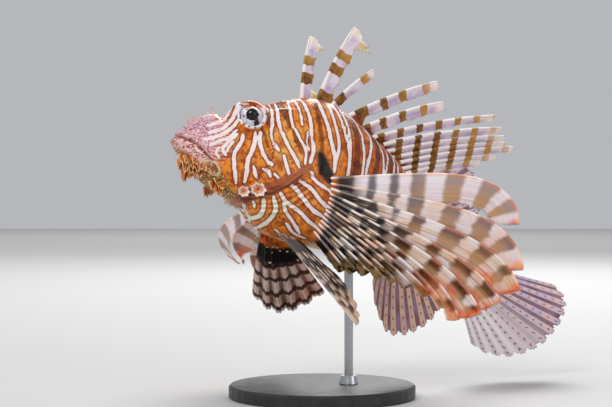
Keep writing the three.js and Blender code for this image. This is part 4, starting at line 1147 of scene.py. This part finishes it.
def middle_ray(ray, sign, rows, curl):
    """A ray of a fin on the back (sign 1) or the belly (sign -1)."""
    at, lean, length, splay = (*ray, 0)[:4]
    root = body_point(at, 0, float(along(BACK if sign > 0 else BELLY, at)) - sign * SINK)
    start, end = leaning(at, sign, lean - curl / 2, splay), leaning(at, sign, lean + curl, splay)
    return ray_line(root, start, end, length + SINK, 1.6, rows)


def paired_rays(table, which, roots, rows, power):
    """The rays of a paired fin, with their roots spread evenly."""
    lines = []
    for (away, down, tip_away, tip_down, length), share in zip(table, np.linspace(0, 1, len(table))):
        at, height, sink = roots(share)
        root = on_side(which, at, height, -sink)
        start, end = direction(away, down), direction(tip_away, tip_down)
        lines.append(ray_line(root, start, end, length + sink, power, rows))
    return np.array(lines)


def between(first, last, share):
    """The number at a share of the way from the first to the last."""
    return first + (last - first) * share


def pectoral_roots(share):
    """Station, height and depth below the skin of a ray's root, along the base of the fin."""
    root = PECTORAL_ROOT
    at = between(root["front"], root["rear"], share)
    return at, between(root["top"], root["bottom"], share), root["sink"]


def pelvic_roots(first, last):
    """The same for a pelvic fin, whose base runs along the belly."""

    def roots(share):
        at = between(first, last, share)
        return at, float(along(BELLY, at)) + PELVIC_LIFT, PELVIC_SINK

    return roots


def in_bands(reach, pitch, dark, offset=0.0):
    """How far a place is inside the dark bands that repeat along a ray, in millimetres."""
    return dark / 2 - np.abs((reach - offset + pitch / 2) % pitch - pitch / 2)


def lengths(line):
    """Distance along a line at each of its points."""
    return np.concatenate([[0], np.cumsum(np.linalg.norm(np.diff(line, axis=0), axis=-1))])


rng = np.random.default_rng(7)
middle_fins = DORSAL_SPINES + SOFT_DORSAL_RAYS + ANAL_RAYS + TAIL_RAYS
paired_fins = LEFT_PECTORAL + RIGHT_PECTORAL + LEFT_PELVIC + RIGHT_PELVIC
print("rays:", len(middle_fins) + len(paired_fins))

# %% [markdown]
# ## Spiny dorsal fin
# The back carries thirteen tall spines. Each is a tapered needle with its own ribbon of membrane behind it,
# and near the back the ribbons join. The first two end in torn flags, the long rear ones in soft white
# tips. A needle is a tube and a ribbon is a thin folded grid, joined into one mesh.

# %% Spines and their ribbons
SPINE_ROWS = np.linspace(0, 1, 72)
RIBBON_COLUMNS = 12
RIBBON_JOINS = 0.15
# Ribbon width, how far the torn flag stands out, and the middle and width of each dark band as shares of
# the spine.
FRONT_RIBBONS = [
    (7.2, 4.5, [(0.38, 0.16), (0.64, 0.13)]),
    (9.2, 10.5, [(0.1, 0.2), (0.47, 0.11), (0.645, 0.1)]),
    (8.2, 0, [(0.28, 0.2), (0.8, 0.15)]),
    (6.7, 0, [(0.2, 0.13), (0.43, 0.07), (0.625, 0.075), (0.868, 0.07)]),
    (6.5, 0, [(0.12, 0.1), (0.31, 0.075), (0.53, 0.075), (0.77, 0.08)]),
]
REAR_RIBBON = 5.4
LEAST_RIBBON = 4.6
BAND_PITCH = 13.9
BAND_DARK = 5.0
FIRST_BAND = 26
SPINE_CURL = 8
FLAG_FROM, FLAG_TO = 0.79, 0.93
SPINE_SIX_X = middle_ray(DORSAL_SPINES[5], 1, SPINE_ROWS, SPINE_CURL)[0, 0]


def spine_bands(number, line, reach):
    """How far each place on a spine is inside its dark bands. Those of the rear spines stand in line."""
    if number < len(FRONT_RIBBONS):
        long = reach[-1]
        bands = FRONT_RIBBONS[number][2]
        return np.max([wide / 2 * long - np.abs(reach - at * long) for at, wide in bands], axis=0)
    return in_bands(reach, BAND_PITCH, BAND_DARK, FIRST_BAND - 1.2 * (line[0, 0] - SPINE_SIX_X))


def ribbon_width(number, place, gap, last):
    """The free width of a ribbon along its spine, and the width without its flag."""
    wide, flag = FRONT_RIBBONS[number][:2] if number < len(FRONT_RIBBONS) else (REAR_RIBBON, 0)
    uneven = 1 + 0.035 * np.sin(place * 19 + number * 1.9) + 0.03 * np.sin(place * 47 + number * 4.2)
    uneven += 0.025 * rng.standard_normal(len(place))
    free = wide * uneven * (0.8 + 0.2 * smooth(place, 0.1, 0.4)) * (0.6 if last else 1)
    free = np.minimum(free, np.maximum(gap, LEAST_RIBBON))
    free *= np.sqrt(np.clip(1 - np.clip((place - 0.93) / 0.075, 0, 1) ** 2, 0.04, 1))
    torn = 0.75 + 0.25 * np.sin(place * 90 + number) + 0.12 * rng.standard_normal(len(place))
    flagged = smooth(place, FLAG_FROM, FLAG_FROM + 0.03) * smooth(1 - place, 1 - FLAG_TO, 1.04 - FLAG_TO)
    return free + flag * flagged * torn, free


def spiny_fin(name, spines, first):
    """Spines from one table, each a needle with its ribbon. The first one's number sets the pattern."""
    lines = [middle_ray(spine, 1, SPINE_ROWS, SPINE_CURL) for spine in spines]
    pieces = []
    for number, (line, spine) in enumerate(zip(lines, spines)):
        place = SPINE_ROWS
        last = number == len(spines) - 1
        rear = frame_at(np.array(float(spine[0])))[0]
        tangent = unit(np.gradient(line, axis=0))
        out = unit(rear - tangent * (tangent @ rear)[:, None])
        normal = np.cross(out, tangent)
        band = spine_bands(first + number, line, lengths(line))
        values = {"band": band[:, None], "tip": place[:, None], "cross": 0.0, "flag": 0.0}
        values["front"] = float(first + number < DORSAL_SPINES_FRONT)
        pieces.append(tube("needle", line, 1.2 * (1 - place) ** 0.6 + 0.3, 12, values))
        following = lines[number + 1] if not last else line + out * 9
        gap = np.sum((following - line) * out, axis=-1)
        free, plain = ribbon_width(first + number, place, gap, last)
        share = smooth(place, RIBBON_JOINS - 0.06, RIBBON_JOINS + 0.1)
        width = free if last else (np.clip(gap, 1, None) + 0.3) * (1 - share) + free * share
        over = np.linspace(0, 1, RIBBON_COLUMNS)[None, :]
        cross = width[:, None] * over
        flutter = 0.5 * np.sin(cross * 0.8) * (place > FLAG_FROM)[:, None] * over
        sway = 0.4 * np.sin(place * 21 + number)[:, None] * over + flutter
        points = line[:, None] + out[:, None] * cross[..., None]
        points += normal[:, None] * (sway - 1.1 * over * share[:, None])[..., None]
        points += tangent[:, None] * (0.12 * width[:, None] * over**2)[..., None]
        values |= {"cross": cross, "flag": cross - plain[:, None] * 0.9}
        values["band"] = band[:, None] + 0.35 * np.sin(cross * 0.9 + number)
        pieces.append(shell("ribbon", points, 0.2 + 0.1 * (1 - over) + 0 * cross, values))
    return closed(joined(name, pieces))


front_spines, rear_spines = DORSAL_SPINES[:DORSAL_SPINES_FRONT], DORSAL_SPINES[DORSAL_SPINES_FRONT:]
dorsal_front = spiny_fin("fish_dorsal_spines_front", front_spines, 0)
dorsal_rear = spiny_fin("fish_dorsal_spines_rear", rear_spines, DORSAL_SPINES_FRONT)
ride(dorsal_front, "fin", "dorsal_fin_front")
ride(dorsal_rear, "fin", "dorsal_fin_rear")

# %% [markdown]
# ## Soft fins of back, belly and tail
# These fins are one web each. Its rays are fine ridges, and between their tips the margin is cut back in
# shallow scallops. One grid per fin is enough: rows run out along the rays and columns across them.

# %% Webs
WEB_ROWS = np.linspace(0, 1, 44)
COLUMNS_PER_RAY = 10
SOFT_CURL = 6
TAIL_ROOT = 10.5  # half the height of the tail fin's root


def web(name, lines, cut_back, wave):
    """One web through all the lines of its rays."""
    lines = np.array(lines)
    count = len(lines)
    across = np.linspace(-0.25, count - 0.75, int(count * COLUMNS_PER_RAY))
    index = np.arange(count)
    slopes = np.gradient(lines, axis=0)
    low = np.clip(np.floor(across), 0, count - 2).astype(int)
    offset = (across - low)[:, None, None]
    eased = 3 * offset**2 - 2 * offset**3
    straight = lines[low] + (lines[low + 1] - lines[low]) * offset
    smoothed = lines[low] * (1 - eased) + lines[low + 1] * eased
    smoothed += slopes[low] * (offset**3 - 2 * offset**2 + offset) + slopes[low + 1] * (offset**3 - offset**2)
    dense = np.where((offset >= 0) & (offset <= 1), smoothed, straight)
    phase = across - np.round(across)
    reach_share = 1 - cut_back * (np.abs(phase) * 2) ** 1.5 - 0.012 * np.sin(across * 23)
    rows = np.clip(WEB_ROWS[:, None] * reach_share[None, :], 0, 1) * (len(WEB_ROWS) - 1)
    lower = np.clip(np.floor(rows), 0, len(WEB_ROWS) - 2).astype(int)
    part = (rows - lower)[..., None]
    column = np.arange(len(across))[None, :]
    points = dense[column, lower] * (1 - part) + dense[column, lower + 1] * part
    place = WEB_ROWS[:, None] * np.ones(len(across))
    normal = grid_normals(points)
    points = points + normal * (wave * place * np.sin(across * 1.1 + 2.5 * place))[..., None]
    spacing = np.linalg.norm(np.gradient(points, axis=1), axis=-1) / np.gradient(across)[None, :]
    cross = np.abs(phase)[None, :] * spacing
    half = 0.14 + 0.4 * (1 - 0.6 * place) * hill(cross, 0.7) + 0.1 * hill(spacing / 2 - cross, 0.4)
    reach = place * np.linalg.norm(lines[:, -1] - lines[:, 0], axis=-1).mean()
    values = {"tip": place, "reach": reach, "spread": across[None, :] / (count - 1)}
    values["cross"] = cross / np.maximum(spacing, 0.5)
    return closed(shell(name, points, half, values))


def tail_lines():
    """The rays of the tail fin, spread over the end of the tail stalk."""
    lines = []
    for number, (turn, length) in enumerate(TAIL_RAYS):
        start = TAIL_ROOT * (1 - 2 * number / (len(TAIL_RAYS) - 1))
        reach = WEB_ROWS * (length + SINK) - SINK
        wide = math.sin(math.radians(turn)) * reach
        at = TAIL_END + math.cos(math.radians(turn)) * reach
        lines.append(body_point(at, 0.8 * math.sin(number * 0.9) * WEB_ROWS, start + wide))
    return lines


def middle_web(name, rays, sign):
    return web(name, [middle_ray(ray, sign, WEB_ROWS, SOFT_CURL) for ray in rays], 0.07, 0.5)


soft_dorsal = middle_web("fish_soft_dorsal", SOFT_DORSAL_RAYS, 1)
anal = middle_web("fish_anal", ANAL_RAYS, -1)
tail_fin = web("fish_tail_fin", tail_lines(), 0.045, 0.7)
ride(soft_dorsal, "fin", "soft_dorsal_fin")
ride(anal, "fin", "anal_fin")
ride(tail_fin, "fin", "caudal_fin")

# %% [markdown]
# ## Fans of long vanes
# The pectoral fins are the lionfish's great fans. Each long ray leads a vane of membrane that trails behind
# it and slides under the next one. Near the root the vanes are joined. The tips are rounded and ragged. A
# vane is one folded grid: thick along its ray, with fine side rays, and thin at its free edge.

# %% Vanes
VANE_ROWS = np.linspace(0, 1, 78)
VANE_COLUMNS = 22
CURLED_FROM = 54  # the row from which curled vanes keep their width
BAND_SHIFT = 4  # how far the bands of the lower vanes stray from a common arc


def vane_fan(name, lines, behind, joined_to, lead, trail, fill, bands, dark_to, curled=0):
    """Overlapping vanes. Bands are places and widths in millimetres from the root, which all rays share."""
    place = VANE_ROWS
    pieces = []
    count = len(lines)
    for number, line in enumerate(lines):
        last = number == count - 1
        neighbour = line + (line - lines[number - 1]) if last else lines[number + 1]
        tangent = unit(np.gradient(line, axis=0))
        toward = neighbour - line
        toward = toward - tangent * np.sum(toward * tangent, axis=-1, keepdims=True)
        room = np.linalg.norm(toward, axis=-1)
        out = unit(toward)
        if number < curled:
            room[CURLED_FROM:] = room[CURLED_FROM]
            for row in range(CURLED_FROM, len(place)):
                out[row] = unit(out[row - 1] - tangent[row] * (out[row - 1] @ tangent[row]))
        normal = np.cross(out, tangent)
        free = smooth(place, joined_to, min(joined_to + 0.3, 0.97))
        full = np.clip(room * 0.6 + 2 if last else (room - lead) * fill, 1.5, trail)
        width = full if last else room * (1 - free) + full * free
        torn = 1 + 0.03 * np.sin(place * 37 + number * 3)
        torn += 0.03 * rng.standard_normal(len(place)) * smooth(place, 0.35, 0.6)
        width = np.clip(width, 0.8, None) * torn
        blunt = 0.5 * np.clip(width, 3, 16) / lengths(line)[-1]
        tip = np.clip((place - 1 + blunt) / blunt, 0, 1)
        width = width * np.sqrt(1 - 0.8 * tip**3)
        front = lead * (1 - 0.5 * place) * np.sqrt(np.clip(1 - tip**4, 0, 1))
        over = np.concatenate([[-1, -0.5], np.linspace(0, 1, VANE_COLUMNS - 2) ** 1.15])[None, :]
        inner = np.clip(over, 0, 1)
        cross = np.where(over < 0, over * front[:, None], over * width[:, None])
        arch = 0.07 * width[:, None] * np.sin(inner * math.pi) * np.sin(math.pi * place[:, None] ** 0.8)
        ripple = 0.5 * place[:, None] * np.sin(place[:, None] * 14 + number * 1.3) * inner
        points = line[:, None] + out[:, None] * cross[..., None]
        points = points + normal[:, None] * (arch + ripple)[..., None]
        points = points + np.array(behind)[None, None] * (free[:, None] * inner)[..., None]
        side_rays = np.cos(np.clip(cross, 0, None) * 2 * math.pi / 2.6) ** 2
        ridge = 0.62 * (1 - 0.72 * place[:, None]) * hill(cross, 0.75)
        half = 0.13 + ridge + 0.07 * side_rays * (1 - 0.5 * place[:, None])
        reach = lengths(line)[:, None] + 0.12 * cross
        shifted = reach + BAND_SHIFT * math.sin(number * 2.4) * (number > 1)
        uneven = [0.5 + 0.13 * math.sin(number * 1.7 + middle) * (number > 1) for middle, dark in bands]
        depths = [dark * wide - np.abs(shifted - middle) for (middle, dark), wide in zip(bands, uneven)]
        far = between(*dark_to, smooth(float(number), 0, 4))
        values = {
            "band": np.max(depths, axis=0), "tip": place[:, None], "reach": reach, "cross": cross,
            "number": number * 1.37,
            "fringe": np.minimum(width[:, None] - cross, (1 - place[:, None]) * reach[-1]),
            "streak": 1 - smooth(reach, far * 0.5, far), "vane": number / (count - 1),
        }
        pieces.append(shell("vane", points, half, values))
    return closed(joined(name, pieces))


# How far up the vanes are joined, widths of a vane before and behind its ray and its share of the gap to the
# next, dark bands, and how far the black root reaches on the first and on the lower vanes.
PECTORAL = {
    "joined_to": 0.3, "lead": 0.9, "trail": 17, "fill": 1.25,
    "bands": [(13, 13), (30.5, 5), (44, 5.2), (58.5, 8.8), (80.5, 11.4), (102.5, 11.4), (121, 9)],
    "dark_to": (26, 72),
}
left_lines = paired_rays(LEFT_PECTORAL, 1, pectoral_roots, VANE_ROWS, 4)
right_lines = paired_rays(RIGHT_PECTORAL, -1, pectoral_roots, VANE_ROWS, 3)
pectoral_left = vane_fan("fish_pectoral_left", left_lines, (0, 2.2, 0), curled=2, **PECTORAL)
pectoral_right = vane_fan("fish_pectoral_right", right_lines, (0, 0, -2.2), **PECTORAL)
ride(pectoral_left, "fin", "pectoral_fin_left")
ride(pectoral_right, "fin", "pectoral_fin_right")

# %% [markdown]
# ## Pelvic fins
# The two pelvic fins hang under the breast. They are small fans of the same make. The right one is spread
# wide, and the left one is nearly closed into a bundle.

# %% Pelvic fans
PELVIC = {
    "joined_to": 0.4, "lead": 0.8, "trail": 7, "fill": 1.3,
    "bands": [(10, 16), (27, 6), (37, 3), (46, 7), (58, 4)],
    "dark_to": (58, 60),
}
left_pelvic_lines = paired_rays(LEFT_PELVIC, 1, pelvic_roots(71, 79), VANE_ROWS, 1.5)
right_pelvic_lines = paired_rays(RIGHT_PELVIC, -1, pelvic_roots(65, 80), WEB_ROWS, 1.5)
pelvic_left = vane_fan("fish_pelvic_left", left_pelvic_lines, (0, 1.2, 0), **PELVIC)
pelvic_right = web("fish_pelvic_right", right_pelvic_lines, 0.06, 0.6)
ride(pelvic_left, "fin", "pelvic_fin_left")
ride(pelvic_right, "fin", "pelvic_fin_right")

# %% [markdown]
# ## The finishes of the fins
# Fin membrane is thin and a little clear, so it lets some light through. Bands run across the rays, and
# their edges waver. Ribbons, vanes and webs each have a pattern of their own, read from the values stored
# on their corners.

# %% Colours of the fins
LILAC = paint(188, 176, 208)
PALE_LILAC = paint(226, 216, 230)
GOLDEN_BROWN = paint(160, 112, 44)
DARK_BROWN = paint(88, 56, 26)
FRINGE_ORANGE = paint(232, 88, 24)
FRINGE_PINK = paint(248, 162, 110)
MEMBRANE_PINK = paint(234, 204, 190)
PLUM = paint(116, 88, 104)


class Membrane(Finish):
    """The start of each fin's finish: a thin, faintly mottled membrane with soft gloss."""

    def __init__(self, name, pale, tinted):
        super().__init__(
            name, 0.42, coat=0.08, Coat_Roughness=0.28, Specular_IOR_Level=0.15, Subsurface_Weight=0.12,
            Subsurface_Scale=0.002,
        )
        self.ground = mix(self.noise(5.0, 3.0).ramp(0.35, 0.65), pale, tinted)

    def ray_noise(self, wide, long, detail=2.0):
        """Streaks that run along the rays: noise drawn out lengthwise, different on each vane."""
        sizes = {"X": self.read("cross") * (1 / wide), "Y": self.read("reach") * (1 / long)}
        vector = self.node("ShaderNodeCombineXYZ", 0, sizes | {"Z": self.read("number")})
        given = {"Vector": vector, "Scale": 1.0, "Detail": detail}
        return self.node("ShaderNodeTexNoise", "Fac", given)


def mix_value(share, first, second):
    """The first number where share is 0, and the second where it is 1."""
    return share.maths("MULTIPLY_ADD", second - first, first)


# %% Finish of the spines
def spine_finish():
    """Lilac ribbons with a bright white leading edge, golden-brown bands and cream tips."""
    look = Membrane("lionfish_spines", PALE_LILAC, LILAC)
    cross, tip = look.read("cross"), look.read("tip")
    colour = mix(cross.ramp(1.0, 2.6, 0.9, 0.0), look.ground, WHITE)
    colour = mix(look.read("flag").ramp(0.0, 0.8), colour, look.mottled(CREAM, OLIVE, 0.9))
    colour = mix(tip.ramp(0.84, 0.95), colour, look.mottled(WHITE, paint(246, 230, 214)))
    bands = look.use(uneven_edge, Distance=-look.read("band"), Waver=0.35, Softness=0.3)
    brown = mix(cross.ramp(4.5, 7.5), look.mottled(GOLDEN_BROWN, DARK_BROWN), GOLDEN_BROWN)
    brown = mix(tip.ramp(0.4, 0.85, 0.0, 0.85), brown, paint(206, 156, 84))
    colour = mix(bands * tip.ramp(0.8, 0.95, 1.0, 0.45), colour, brown)
    root = tip.ramp(0.1, 0.24, 1.0, 0.0) * cross.ramp(0.8, 1.4) * look.read("front").ramp(0.0, 1.0, 1.0, 0.25)
    look.set(Base_Color=mix(root, colour, look.mottled(RUST, DARK_RED)))
    look.relief(look.noise(0.8, 3.0), 0.08)
    return look


# %% Finish of the vanes
def vane_ground(look, upper, first):
    """Pale membrane with tan and brown streaks between the rays, painted shade of its pleats, and fine lines.
    """
    colour = mix(first * 0.8, look.ground, paint(240, 233, 242))
    # Painted shade: tan and darker brown streaks along the rays stand in for the shaded sides of the pleated
    # membrane.
    tan = look.ray_noise(2.6, 60.0).ramp(0.42, 0.6) * upper.ramp(0.0, 1.0, 0.7, 0.15)
    colour = mix(tan, colour, paint(222, 178, 116))
    folds = look.ray_noise(1.1, 70.0, 3.0).ramp(0.52, 0.66) * upper.ramp(0.0, 1.0, 0.7, 0.2)
    colour = mix(folds, colour, paint(150, 98, 48))
    lines = (look.read("cross") + look.noise(12.0, 1.0) * 2.5).stripes(1.3, 0.1, 0.2)
    return mix(lines * 0.2, colour, paint(180, 148, 150))


def black_root(look, colour):
    """Near the root the streaks are black and olive, with thin pale lines."""
    streaks = mix(look.ray_noise(1.6, 26.0).ramp(0.46, 0.6), BLACK, paint(122, 98, 48))
    streaks = mix(look.ray_noise(0.9, 18.0, 3.0).ramp(0.56, 0.64), streaks, paint(222, 210, 184))
    return mix(look.read("streak") * 0.95, colour, streaks)


def vane_bands(look, colour, first):
    """Dark bands that fade away from the ray, smoky and golden on the first vane."""
    cross, reach = look.read("cross"), look.read("reach")
    waver = (look.ray_noise(5.0, 14.0) - 0.5) * mix_value(first, 9.0, 3.0)
    band = (look.read("band") + waver).ramp(-1.8, 1.6)
    brown = look.mottled(paint(92, 48, 16), paint(36, 17, 8))
    soft = mix(cross.ramp(1.5, 8.0, 1.0, 0.0), paint(158, 110, 44), brown)
    soft = mix(first, soft, mix(cross.ramp(3.0, 13.0), paint(140, 114, 92), paint(174, 130, 42)))
    dark = mix(reach.ramp(42.0, 70.0), paint(18, 12, 10), soft)
    strength = mix_value(look.read("vane").ramp(0.06, 0.3), 0.78, cross.ramp(3.0, 9.0, 1.0, 0.5))
    return mix(band * strength, colour, dark), band


def vane_margin(look, colour, band, first, lower, orange):
    """An orange margin at the tips, spotted on the lower vanes, and a thin white edge."""
    cross, tip, fringe = look.read("cross"), look.read("tip"), look.read("fringe")
    warm = lower.rest()
    top = cross.ramp(0.2, 2.2, 1.0, 0.0) * tip.ramp(0.4, 0.6) * band * warm * orange
    colour = mix(top * 0.4, colour, paint(222, 110, 62))
    margin = (fringe + (look.noise(7.0) - 0.5) * 12.0).ramp(0.5, 7.5, 1.0, 0.0) * tip.ramp(0.66, 0.92)
    margin = margin * mix_value(first, 1.0, cross.ramp(2.0, 8.0, 1.0, 0.1))
    fiery = mix(look.noise(8.0).ramp(0.42, 0.58), FRINGE_PINK, FRINGE_ORANGE)
    spotted = mix(look.ray_noise(2.5, 5.0).ramp(0.5, 0.58), paint(152, 122, 66), paint(34, 20, 14))
    colour = mix(margin * orange, colour, mix(lower, fiery, spotted))
    edge = fringe.ramp(0.3, 1.2, 1.0, 0.0) * tip.ramp(0.4, 0.6) * warm
    return mix(edge * 0.85, colour, WHITE)


def vane_finish(name, pale, orange, clear, rays):
    """Black and white streaks near the root, then pale vanes with soft bands and an orange margin."""
    look = Membrane(name, pale, MEMBRANE_PINK)
    cross, reach, vane = look.read("cross"), look.read("reach"), look.read("vane")
    first = vane.ramp(0.02, 0.1, 1.0, 0.0) * orange
    colour = black_root(look, vane_ground(look, vane.ramp(0.06, 0.2, 1.0, 0.0), first))
    colour, band = vane_bands(look, colour, first)
    ray = abs(cross).ramp(0.5, 0.95, 1.0, 0.0)
    ray_colour = mix(look.noise(6.0).ramp(0.42, 0.6), WHITE, paint(250, 206, 184))
    colour = mix(ray * band.ramp(0.0, 1.0, 0.95, 0.25) * rays, colour, ray_colour)
    colour = vane_margin(look, colour, band, first, vane.ramp(0.42, 0.6), orange)
    root = (reach + look.ray_noise(1.2, 6.0) * 5.0).ramp(9.0, 14.0, 1.0, 0.0)
    colour = mix(root * orange, colour, mix(ray, look.mottled(ORANGE, RUST), WHITE))
    thin = (look.read("tip") * cross.ramp(1.0, 3.0)).ramp(0.3, 0.9, 1.0, clear)
    look.set(Base_Color=colour, Alpha=thin)
    look.relief(look.noise(0.7, 3.0) * 0.5 + look.ray_noise(0.8, 60.0) * 1.2, 0.25)
    return look


# %% Finish of the webs
def web_finish(name, dotted, ground=PLUM, first_ray=paint(226, 200, 196), second_ray=paint(206, 192, 214)):
    """Broad pale rays on darker membrane, broken into dashes. Dotted webs are clear below, with dark dots."""
    look = Membrane(name, ground, paint(146, 118, 140))
    cross, tip = look.read("cross"), look.read("tip")
    low = look.read("spread").ramp(0.3, 0.75) * dotted
    ray = cross.ramp(0.22, 0.34, 1.0, 0.0)
    gaps = (look.read("reach") + look.noise(14.0, 1.0) * 3.0).stripes(5.5, 0.06, 0.12)
    gaps_seen = gaps * tip.ramp(0.15, 0.4) * cross.ramp(0.06, 0.12, 1.0, 0.0)
    pale = mix(look.noise(4.0).ramp(0.4, 0.6), first_ray, second_ray)
    colour = mix(ray * gaps_seen.rest(), look.ground, pale)
    dots = gaps * cross.ramp(0.08, 0.14, 1.0, 0.0)
    clear = mix(dots, mix(look.noise(6.0), paint(226, 214, 214), paint(206, 190, 200)), paint(70, 48, 58))
    thin = dots.maths("MAXIMUM", ray * 0.35).ramp(0.0, 0.8, 0.42, 1.0)
    look.set(Base_Color=mix(low, colour, clear), Alpha=mix_value(low, 0.86, thin))
    look.relief(look.noise(0.7, 3.0), 0.06)
    return look


def open_pelvic_finish():
    """Black with white spots near the root, then tan rays with dark arcs and a pale scalloped margin."""
    look = Membrane("lionfish_pelvic_web", paint(222, 196, 184), paint(188, 156, 136))
    cross, reach = look.read("cross"), look.read("reach")
    tan = look.mottled(paint(124, 86, 50), paint(64, 42, 28))
    colour = mix(cross.ramp(0.2, 0.42) * 0.85, look.ground, tan)
    colour = mix(cross.ramp(0.04, 0.12, 0.8, 0.0), colour, PINK_WHITE)
    along_ray = reach + (look.noise(6.0) - 0.5) * 7.0
    arcs = (along_ray + 1.0).stripes(11.5, 0.1, 0.1)
    colour = mix(arcs * 0.95, colour, look.mottled(paint(70, 40, 24), BLACK))
    dark = mix(look.spots(4.2, 0.2, 0.27), BLACK, paint(226, 206, 178))
    colour = mix(along_ray.ramp(24.0, 31.0, 1.0, 0.0), colour, dark)
    colour = mix(reach.ramp(8.0, 13.0, 1.0, 0.0), colour, look.mottled(ORANGE, RED_BROWN))
    look.set(Base_Color=mix(look.read("tip").ramp(0.955, 0.99, 0.0, 0.8), colour, WHITE))
    look.relief(look.noise(0.8, 3.0), 0.12)
    return look


# %% Dress the fins
anal_paints = paint(122, 82, 70), paint(228, 190, 166), paint(214, 176, 164)
for look, *pieces in (
    (spine_finish(), dorsal_front, dorsal_rear),
    (web_finish("lionfish_webs", 0.0), soft_dorsal),
    (web_finish("lionfish_anal_fin", 0.0, *anal_paints), anal),
    (web_finish("lionfish_tail_fin", 1.0), tail_fin),
    (vane_finish("lionfish_pectoral", paint(232, 222, 224), 1.0, 0.93, 1.0), pectoral_left, pectoral_right),
    (vane_finish("lionfish_pelvic", paint(212, 180, 150), 0.0, 1.0, 0.5), pelvic_left),
    (open_pelvic_finish(), pelvic_right),
):
    for piece in pieces:
        dress(piece, look)


# %% [markdown]
# ## The stand
# A museum stand is plain: a round satin black base and one brushed steel rod under the belly. Both solids
# already have their true shape, so they stay and only get a finish.

# %% Base and rod
def base_finish():
    """Satin black with faint scuffs."""
    look = Finish("satin_black_base", 0.45)
    scuffs = look.noise(6.0, 6.0, 0.7).ramp(0.35, 0.75)
    colour = mix(scuffs, paint(30, 30, 32), paint(48, 48, 50))
    look.set(Base_Color=colour, Roughness=scuffs.ramp(0.0, 1.0, 0.38, 0.55))
    look.relief(look.noise(0.6, 3.0), 0.03)
    return look


def rod_finish():
    """Steel with brushed streaks."""
    look = Finish("brushed_steel_rod", 0.3, Metallic=1.0)
    streaks = look.noise(0.8, 5.0, 0.7)
    colour = mix(streaks, paint(150, 152, 156), paint(205, 207, 210))
    look.set(Base_Color=colour, Roughness=streaks.ramp(0.3, 0.7, 0.22, 0.42))
    look.relief(streaks, 0.01)
    return look


dress(bpy.data.objects["stand_base"], base_finish())
dress(bpy.data.objects["stand_rod"], rod_finish())

# %% [markdown]
# ## Floor, light and camera
# The model stands on a plain pale floor before a plain pale background. Three large soft lamps give even
# light with gentle shine, and a fourth one lights the floor behind. The camera looks level at the fish,
# from its left, as in the photograph.

# %% Floor
FLOOR_SIZE = 12.0
bpy.ops.object.select_all(action="DESELECT")
bpy.ops.mesh.primitive_plane_add(size=FLOOR_SIZE)
floor = bpy.context.object
floor.name = floor.data.name = "studio_floor"
floor_look = Finish("pale_floor", 0.75)
floor_look.set(Base_Color=mix(floor_look.noise(400.0), paint(190, 189, 187), paint(197, 196, 194)))
dress(floor, floor_look)

# %% Lamps and background
def lamp(name, place, aim, size, watts, colour=(1, 1, 1)):
    """A large soft lamp that points at a place."""
    bpy.ops.object.light_add(type="AREA", location=place)
    light = bpy.context.object
    light.name = name
    light.data.size = size
    light.data.energy = watts
    light.data.color = colour
    toward = unit(np.array(aim, float) - np.array(place, float))
    light.rotation_euler = (math.acos(-toward[2]), 0, math.atan2(toward[1], toward[0]) - math.pi / 2)
    return light


FISH_MIDDLE = (0.02, 0.0, 0.13)
lamp("key_lamp", (-1.0, -1.7, 1.8), FISH_MIDDLE, 0.9, 30)
lamp("fill_lamp", (1.8, -1.5, 0.9), FISH_MIDDLE, 1.2, 9)
lamp("rim_lamp", (0.4, 1.6, 1.5), FISH_MIDDLE, 1.0, 34)
lamp("floor_lamp", (0.0, 3.8, 2.2), (0.0, 3.9, 0.0), 3.0, 34)
world = bpy.data.worlds.new("studio")
bpy.context.scene.world = world
world.use_nodes = True
world.node_tree.nodes["Background"].inputs["Color"].default_value = (0.93, 0.95, 1.0, 1)
world.node_tree.nodes["Background"].inputs["Strength"].default_value = 0.5

# %% Camera
# The plain view shows colours as the finishes give them.
bpy.context.scene.view_settings.view_transform = "Standard"
bpy.ops.object.camera_add(location=(-0.01, -0.9, 0.12), rotation=(math.pi / 2, 0, 0))
camera = bpy.context.object
camera.data.lens = 85.29
camera.data.sensor_width = 36
camera.data.clip_start = 0.01
bpy.context.scene.camera = camera
